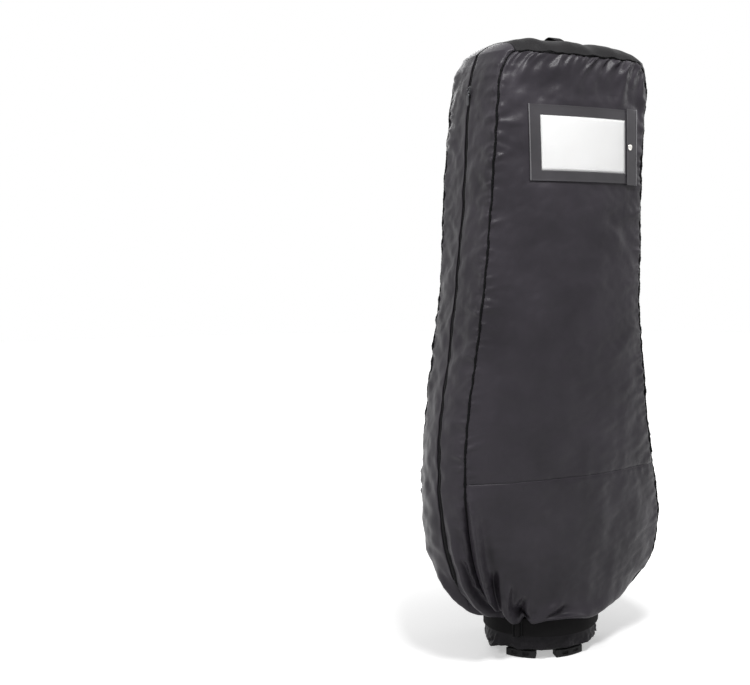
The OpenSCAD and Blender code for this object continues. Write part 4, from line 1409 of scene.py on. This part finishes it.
def box_stitching(name, heights, shares, proud):
    """Thread round a rectangle with a cross in it, through webbing on the cover."""
    (z0, z1), (s0, s1) = heights, shares
    corners = [(z0, s0), (z0, s1), (z1, s1), (z1, s0), (z0, s0), (z1, s1), (z1, s0), (z0, s1)]
    path = []
    for (za, sa), (zb, sb) in zip(corners, corners[1:]):
        t = np.linspace(0, 1, 12)
        path.append(line_on_cover(za + (zb - za) * t, sa + (sb - sa) * t, proud))
    out = Vector(cover_outward(np.array([z0]), np.array([[s0]]))[0, 0])
    dress(finished(name, stitches(np.concatenate(path), out)), "thread")


def make_hand_slot():
    """The webbing bound on the slot's two lips, and the tabs that close its ends."""
    low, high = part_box("slot_binding_front")
    heights = np.linspace(low.z, high.z, 180)
    for half, marks, sign in (("front", ENDS["slot_front"], -1), ("rear", STARTS["slot_rear"], 1)):
        lip = share_at(marks, heights)
        across = np.linspace(0, BINDING_W, 6) if sign > 0 else np.linspace(-BINDING_W, 0, 6)
        shares = lip[:, None] + length_share(across[None], heights[:, None])
        binding = grid_piece(f"slot_binding_{half}_webbing", cover_points(heights, shares, 0.0016))
        thicken(binding, 0.0026)
        soften(binding, 0.0005)
        dress(binding, "webbing", "cover", ("slot_binding_" + half,))
    for name in ("slot_tab_upper", "slot_tab_lower"):
        low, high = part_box(name)
        heights = np.linspace(low.z, high.z, 14)
        start, end = share_at(STARTS["slot_front"], heights), share_at(ENDS["slot_rear"], heights)
        inset = length_share(TAB_MARGIN, heights)
        across = np.linspace(0, 1, 90)
        shares = (start + inset)[:, None] + (end - start - 2 * inset)[:, None] * across
        tab = grid_piece(name + "_webbing", cover_points(heights, shares, 0.0032))
        thicken(tab, 0.0016)
        soften(tab, 0.0005)
        dress(tab, "webbing", "cover", (name,))
        for end_name, edge, way in (("front", shares[7, 0], 1), ("rear", shares[7, -1], -1)):
            step = length_share(0.022, heights[7]) * way
            margin = step * 0.14
            box_stitching(f"{name}_stitches_{end_name}", (low.z + 0.004, high.z - 0.004),
                          (edge + margin, edge + step), 0.0034)


# ---- Belt, buckle and hem round the foot ----

# Places round the hem and the belt, and how many of the belt's the loose tail takes.
FOOT_COLS, TAIL_COLS = 461, 220
# Where the hem bulges, below the zip, as a share of the way round and a width of that share.
HEM_BULGE, BULGE_WIDTH = 0.93, 0.03


def foot_table():
    """The outline just inside the cover's foot, and its outward directions."""
    ring = OUTLINE[0]
    along = unit(np.roll(ring, -1, axis=0) - np.roll(ring, 1, axis=0))
    out = np.column_stack([along[:, 1], -along[:, 0]])
    return ring - out * FOOT_LAP, out


def foot_points(heights, shares, proud=0.0):
    """Rows of points round the foot, below the cover's wall."""
    places = (np.asarray(shares) % 1.0) * RING
    first = np.floor(places).astype(int) % RING
    step = (places - np.floor(places))[..., None]

    def read(values):
        return values[first] * (1 - step) + values[(first + 1) % RING] * step

    flat = read(FOOT_RING)[None] + read(FOOT_OUT)[None] * np.asarray(proud)[..., None]
    flat = np.broadcast_to(flat, (len(heights), len(shares), 2))
    level = np.broadcast_to(np.asarray(heights)[:, None, None], (len(heights), len(shares), 1))
    return np.concatenate([flat, level], axis=2)


def nearest_share(spot):
    return PLACES[np.hypot(*(FOOT_RING - (spot.x, spot.y)).T).argmin()]


def make_hem():
    """The gathered hem below the belt, most crumpled at its free edge."""
    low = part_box("hem_skirt")[0]
    heights, shares = np.linspace(low.z, FOOT_Z + 0.004, 34), np.linspace(0, 1, FOOT_COLS)
    smooth = foot_points(heights, shares)
    hang = 1 - smooth_step(heights, low.z, BELT_LOW)[:, None]
    crumple = ripples(smooth, 0.030, 51, stretch=(1, 1, 3)) + 0.4 * ripples(smooth, 0.012, 52)
    proud = -0.0012 + hang * (0.0016 + 0.0014 * crumple) + 0.0002 * crumple
    bulge = ridge((shares[None] - HEM_BULGE + 0.5) % 1.0 - 0.5, BULGE_WIDTH)
    proud = proud + hang * bulge * (0.008 + 0.005 * crumple)
    points = foot_points(heights, shares, proud)
    edge = 0.0015 * ripples(points, 0.04, 53)
    points[..., 2] += hang * edge + hang**2 * 0.002
    cover_piece("hem_skirt", points, smooth, "hem_nylon", ("hem_skirt",))


def make_belt():
    """The belt round the foot, its buckle, and the tail that runs on from it over the belt."""
    low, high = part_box("base_belt")
    heights, shares = np.linspace(low.z, high.z, 12), np.linspace(0, 1, FOOT_COLS)
    smooth = foot_points(heights, shares)
    wave = 0.0004 * ripples(smooth, 0.05, 54, stretch=(1, 1, 4))
    strap = grid_piece("base_belt_webbing", foot_points(heights, shares, 0.0028 + wave))
    thicken(strap, 0.0016)
    soften(strap, 0.0005)
    dress(strap, "webbing", "cover", ("base_belt",))
    middle = sum(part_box("belt_buckle"), Vector()) / 2
    share = nearest_share(middle)
    tail_start = share_at(STARTS["back"], FOOT_Z) + 0.115
    shares = np.linspace(tail_start, share - 0.012, TAIL_COLS)
    proud = 0.0050 + wave[:, :TAIL_COLS]
    tail = grid_piece("belt_tail_webbing", foot_points(heights, shares, proud))
    thicken(tail, 0.0016)
    soften(tail, 0.0005)
    dress(tail, "webbing", "cover", ("belt_tail",))
    make_buckle(share, middle.z)


# Half widths of the slide's middle bar, its slots and the whole, and half heights of its slots and
# the whole. Then how proud it is, and the half width and half height of the belt through it.
BAR, SLOT_WIDE, SLIDE_WIDE, SLOT_TALL, SLIDE_TALL = 0.0022, 0.0075, 0.0105, 0.0188, 0.022
SLIDE_PROUD, WEB_WIDE, WEB_TALL = 0.0042, 0.0071, 0.0182


def make_buckle(share, height):
    """Three-bar slide that the belt threads through."""
    spot = foot_points([height], [share], 0.0058)[0, 0]
    side = unit(foot_points([height], [share + 0.004])[0, 0]
                - foot_points([height], [share - 0.004])[0, 0])
    out = np.array([side[1], -side[0], 0])

    def plate(across, up, proud):
        """A grid of points over the slide, with how proud it is at each distance across."""
        x, z = np.meshgrid(across, up)
        flat = spot + x[..., None] * side + z[..., None] * np.array([0, 0, 1])
        return flat + out * proud(x)[..., None]

    def in_slot(place):
        along = (place - Vector(spot)).dot(Vector(side))
        return BAR < abs(along) < SLOT_WIDE and abs(place.z - height) < SLOT_TALL

    points = plate(lines(-SLIDE_WIDE, 2, -SLOT_WIDE, 2, -BAR, 2, BAR, 2, SLOT_WIDE, 2, SLIDE_WIDE),
                   lines(-SLIDE_TALL, 2, -SLOT_TALL, 6, SLOT_TALL, 2, SLIDE_TALL),
                   lambda x: SLIDE_PROUD - 4.0 * x**2)
    piece = grid_piece("belt_buckle_slide", points, cut=in_slot)
    thicken(piece, 0.0034)
    soften(piece, 0.0009, 3)
    dress(piece, "buckle", "cover", ("belt_buckle",))
    points = plate(np.linspace(-WEB_WIDE, WEB_WIDE, 15), np.linspace(-WEB_TALL, WEB_TALL, 12),
                   lambda x: SLIDE_PROUD + 0.0026 - 0.0054 * abs(x / WEB_WIDE) ** 2.4)
    web = grid_piece("belt_through_slide", points)
    thicken(web, 0.0014)
    soften(web, 0.0004)
    dress(web, "webbing", "cover")


def make_top_handle():
    """The webbing loop over the top, with its stitched ends."""
    low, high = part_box("top_handle")
    half = (high.x - low.x) / 2
    reach = (high.y - low.y) / 2
    ys = np.linspace(-reach, reach, 90)
    across = np.linspace(-half, half, 12)
    depth = abs(SMOOTH[-1, :, 1]).max()
    dome = dome_height(abs(ys) / depth)
    arch = (high.z - 0.0026 - TOP_Z - DOME_RISE) * np.cos(ys / reach * math.pi / 2) ** 2
    points = np.empty((len(ys), len(across), 3))
    points[..., 0] = CROWN_X - across
    points[..., 1] = ys[:, None]
    points[..., 2] = (dome + arch + 0.0026)[:, None] - 0.6 * across[None] ** 2 * np.cos(
        ys / reach * math.pi / 2)[:, None]
    handle = grid_piece("top_handle_webbing", points)
    thicken(handle, 0.0022)
    soften(handle, 0.0006)
    dress(handle, "webbing", "cover", ("top_handle",))
    for end in (-1, 1):
        path = []
        y0, y1 = end * (reach - 0.004), end * (reach - 0.024)
        corners = [(-0.010, y0), (0.010, y0), (0.010, y1), (-0.010, y1), (-0.010, y0), (0.010, y1)]
        for (xa, ya), (xb, yb) in zip(corners, corners[1:]):
            t = np.linspace(0, 1, 10)
            x, y = xa + (xb - xa) * t, ya + (yb - ya) * t
            z = np.interp(y, ys, dome + arch + 0.0029)
            path.append(np.column_stack([CROWN_X + x, y, z]))
        name = "top_handle_stitches_" + ("rear" if end > 0 else "front")
        dress(finished(name, stitches(np.concatenate(path), (0, 0, 1))), "thread")


# ---- The golf bag inside ----

FOOT_TURNS = (10, 78, 150, 215, 272)
# A foot's size, where its ribs divide it across and up, and the windows sunk between them.
FOOT_DEEP, FOOT_WIDE = 0.026, 0.068
RIBS_ACROSS, RIBS_UP = (-0.027, -0.020, -0.006, 0.006, 0.020, 0.027), (0.005, 0.012)


def make_bag_foot():
    low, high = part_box("bag_base")
    r = high.x
    inner, floor_z = r - 0.004, low.z + 0.005
    base = spun("bag_base_shell", [(0.001, low.z), (inner, low.z), (r, low.z + 0.004), (r, high.z),
                                   (inner, high.z), (inner, floor_z), (0.001, floor_z)], 96, True)
    soften(base, 0.0016, 3)
    dress(base, "bag_plastic", "cover", ("bag_base",))
    feet = bmesh.new()
    for turn in FOOT_TURNS:
        foot = bmesh.new()
        bmesh.ops.create_cube(foot, size=1, matrix=Matrix.Translation((-0.012, 0, low.z / 2))
                              @ Matrix.Diagonal((FOOT_DEEP, FOOT_WIDE, low.z, 1)))
        for way, cuts in (((0, 1, 0), RIBS_ACROSS), ((0, 0, 1), RIBS_UP)):
            for at in cuts:
                bmesh.ops.bisect_plane(foot, geom=foot.verts[:] + foot.edges[:] + foot.faces[:],
                                       plane_co=Vector(way) * at, plane_no=way)
        windows = [face for face in foot.faces if face.normal.x > 0.9
                   and 0.006 < abs(face.calc_center_median().y) < 0.020
                   and 0.005 < face.calc_center_median().z < 0.012]
        bmesh.ops.inset_individual(foot, faces=windows, thickness=0.0007, depth=-0.004)
        for vert in foot.verts:
            angle = vert.co.y / r
            reach = r + vert.co.x
            vert.co.x, vert.co.y = reach * math.cos(angle), reach * math.sin(angle)
        bmesh.ops.rotate(foot, verts=foot.verts, cent=(0, 0, 0),
                         matrix=Matrix.Rotation(math.radians(turn), 3, "Z"))
        data = bpy.data.meshes.new("foot")
        foot.to_mesh(data)
        foot.free()
        feet.from_mesh(data)
        bpy.data.meshes.remove(data)
    piece = finished("bag_feet_rubber", feet)
    soften(piece, 0.0014, 3)
    dress(piece, "bag_rubber", "cover", ("bag_feet",))


def bag_outline(z, tube_low, tube_high):
    """Half width and half depth of the bag's tube at a height: round below, oval above."""
    r, w, d = tube_low
    t = np.clip((z - tube_high[0]) / (tube_high[1] - tube_high[0]), 0, 1)
    swell = 1 - (1 - t) ** 1.35
    return r + (w - r) * swell, r + (d - r) * t


BAG_ROWS, BAG_COLS = 120, 161


def make_bag():
    """The bag's tube, its collar, its divider, which stays as it is, and its two pockets."""
    low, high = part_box("bag_tube")
    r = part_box("bag_base")[1].x
    shape = ((r, high.x, high.y), (low.z, 0.6))
    heights = np.linspace(low.z, high.z, BAG_ROWS)
    turn = np.linspace(0, 2 * math.pi, BAG_COLS)
    w, d = bag_outline(heights, *shape)
    seams = 0.0016 * (ridge((turn - math.pi / 2), 0.03) + ridge((turn - 3 * math.pi / 2), 0.03))
    points = np.dstack([np.outer(w, np.cos(turn)) - seams * np.cos(turn),
                        np.outer(d, np.sin(turn)) - seams * np.sin(turn),
                        np.broadcast_to(heights[:, None], (BAG_ROWS, BAG_COLS))])
    lift = 0.0012 * ripples(points, 0.07, 61)
    points[..., :2] *= (1 - 0.004 + lift / 0.14)[..., None]
    tube = grid_piece("bag_tube_fabric", points)
    thicken(tube, 0.003)
    dress(tube, "bag_fabric", "cover", ("bag_tube",))
    low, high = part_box("bag_cuff")
    heights = lines(low.z, 3, low.z + 0.004, 10, high.z - 0.006, 4, high.z)
    rim = 0.0012 * ridge(heights - low.z - 0.006, 0.002)
    rim -= 0.0025 * smooth_step(heights, high.z - 0.006, high.z)
    points = np.dstack([np.outer(high.x + rim, np.cos(turn)), np.outer(high.y + rim, np.sin(turn)),
                        np.broadcast_to(heights[:, None], (len(heights), BAG_COLS))])
    cuff = grid_piece("bag_cuff_collar", points)
    thicken(cuff, 0.007)
    soften(cuff, 0.0015)
    dress(cuff, "bag_plastic", "cover", ("bag_cuff",))
    frame["nodes"]["bag_divider"].data.materials.clear()
    frame["nodes"]["bag_divider"].data.materials.append(materials["bag_plastic"])
    for name, sign in (("bag_pocket_zip_side", -1), ("bag_pocket_slot_side", 1)):
        make_bag_pocket(name, sign, shape)


def make_bag_pocket(name, sign, shape):
    """A swollen side pocket that closes on the tube all round."""
    low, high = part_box(name)
    rows, cols = 90, 50
    zs = np.linspace(low.z, high.z, rows)
    w, d = bag_outline(zs, *shape)
    turn = np.radians(np.linspace(-38, 38, cols))
    k, i = np.linspace(0, 1, rows)[:, None], np.linspace(0, 1, cols)[None]
    cover = np.interp(zs, LEVELS, (sign * SMOOTH[..., 0]).max(axis=1)) - 0.014
    reach = (np.minimum((high.x if sign > 0 else -low.x) - 0.004, cover) - w)[:, None]
    full = np.clip(np.sin(math.pi * i), 0, 1) ** 0.5 * np.clip(np.sin(math.pi * k), 0, 1) ** 0.42
    x = sign * (w[:, None] * np.cos(turn) + reach * full)
    y = sign * d[:, None] * np.sin(turn)
    z = np.broadcast_to(zs[:, None], x.shape)
    points = np.dstack([x, y, z])
    points[..., 0] -= sign * full * (0.003 + 0.001 * ripples(points, 0.08, 62))
    pocket = grid_piece(name + "_padding", points)
    thicken(pocket, 0.004)
    dress(pocket, "bag_fabric", "cover", (name,))


def make_bag_handle():
    """The bag's padded grab handle, its strap, its two corded edges and its anchor patches."""
    low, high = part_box("bag_handle")
    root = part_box("bag_tube")[1].x + 0.005
    bow, rise = high.x - 0.002 - root, (high.z - low.z) / 2 - 0.0005
    middle = (low + high) / 2

    def bow_path(shrink, proud=0.0, count=61):
        a = np.radians(np.linspace(-90, 90, count))
        rx, rz = bow - shrink + proud, rise - shrink + proud
        return np.column_stack([root + rx * np.cos(a), np.full(count, middle.y),
                                middle.z + rz * np.sin(a)])

    def strap(name, shrink, half, thickness, crown, slot, node):
        path = bow_path(shrink)
        out = unit(np.gradient(path, axis=0))
        out = np.column_stack([out[:, 2], np.zeros(len(out)), -out[:, 0]])
        across = np.linspace(-half, half, 15)
        rise_up = crown * (1 - (across / half) ** 2)
        points = path[:, None] + out[:, None] * rise_up[None, :, None]
        points[..., 1] += across
        piece = grid_piece(name, points)
        thicken(piece, thickness)
        soften(piece, 0.0009)
        return dress(piece, slot, "cover", (node,))

    grip = strap("bag_handle_grip", 0.0, 0.0165, 0.0042, 0.0015, "grip", "bag_handle")
    strap("bag_handle_strap_webbing", 0.0055, 0.012, 0.0018, 0.0002, "webbing", "bag_handle_strap")
    for side in (-1, 1):
        path = bow_path(-0.0002)
        path[:, 1] += side * 0.0168
        fine, _ = evenly(path, 0.0012)
        radius = 0.0023 + 0.0001 * ripples(fine, 0.008, 63)
        cord = grid_piece("bag_handle_piping_" + ("rear" if side > 0 else "front"),
                          tube_points(fine, radius, 10), capped=True)
        dress(cord, "red_piping", "cover", ("bag_handle_piping",))
    low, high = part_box("bag_handle_anchors")
    for end, z in (("lower", low.z + 0.013), ("upper", high.z - 0.013)):
        place = Matrix.Translation(((low.x + high.x) / 2, (low.y + high.y) / 2, z))
        patch = rounded_block("bag_handle_anchor_" + end,
                              (high.x - low.x, high.y - low.y, 0.026), place, 0.0022)
        dress(patch, "bag_plastic", "cover", ("bag_handle_anchors",))


camera()
studio()
groups = {"weave": weave_group(), "creases": creases_group(), "tone": tone_group()}
materials = make_materials()
floor()
FOOT_RING, FOOT_OUT = foot_table()
make_cover()
make_piping()
make_zip()
make_slider()
make_card_pocket()
make_flap()
make_hand_slot()
make_hem()
make_belt()
make_top_handle()
make_bag_foot()
make_bag()
make_bag_handle()
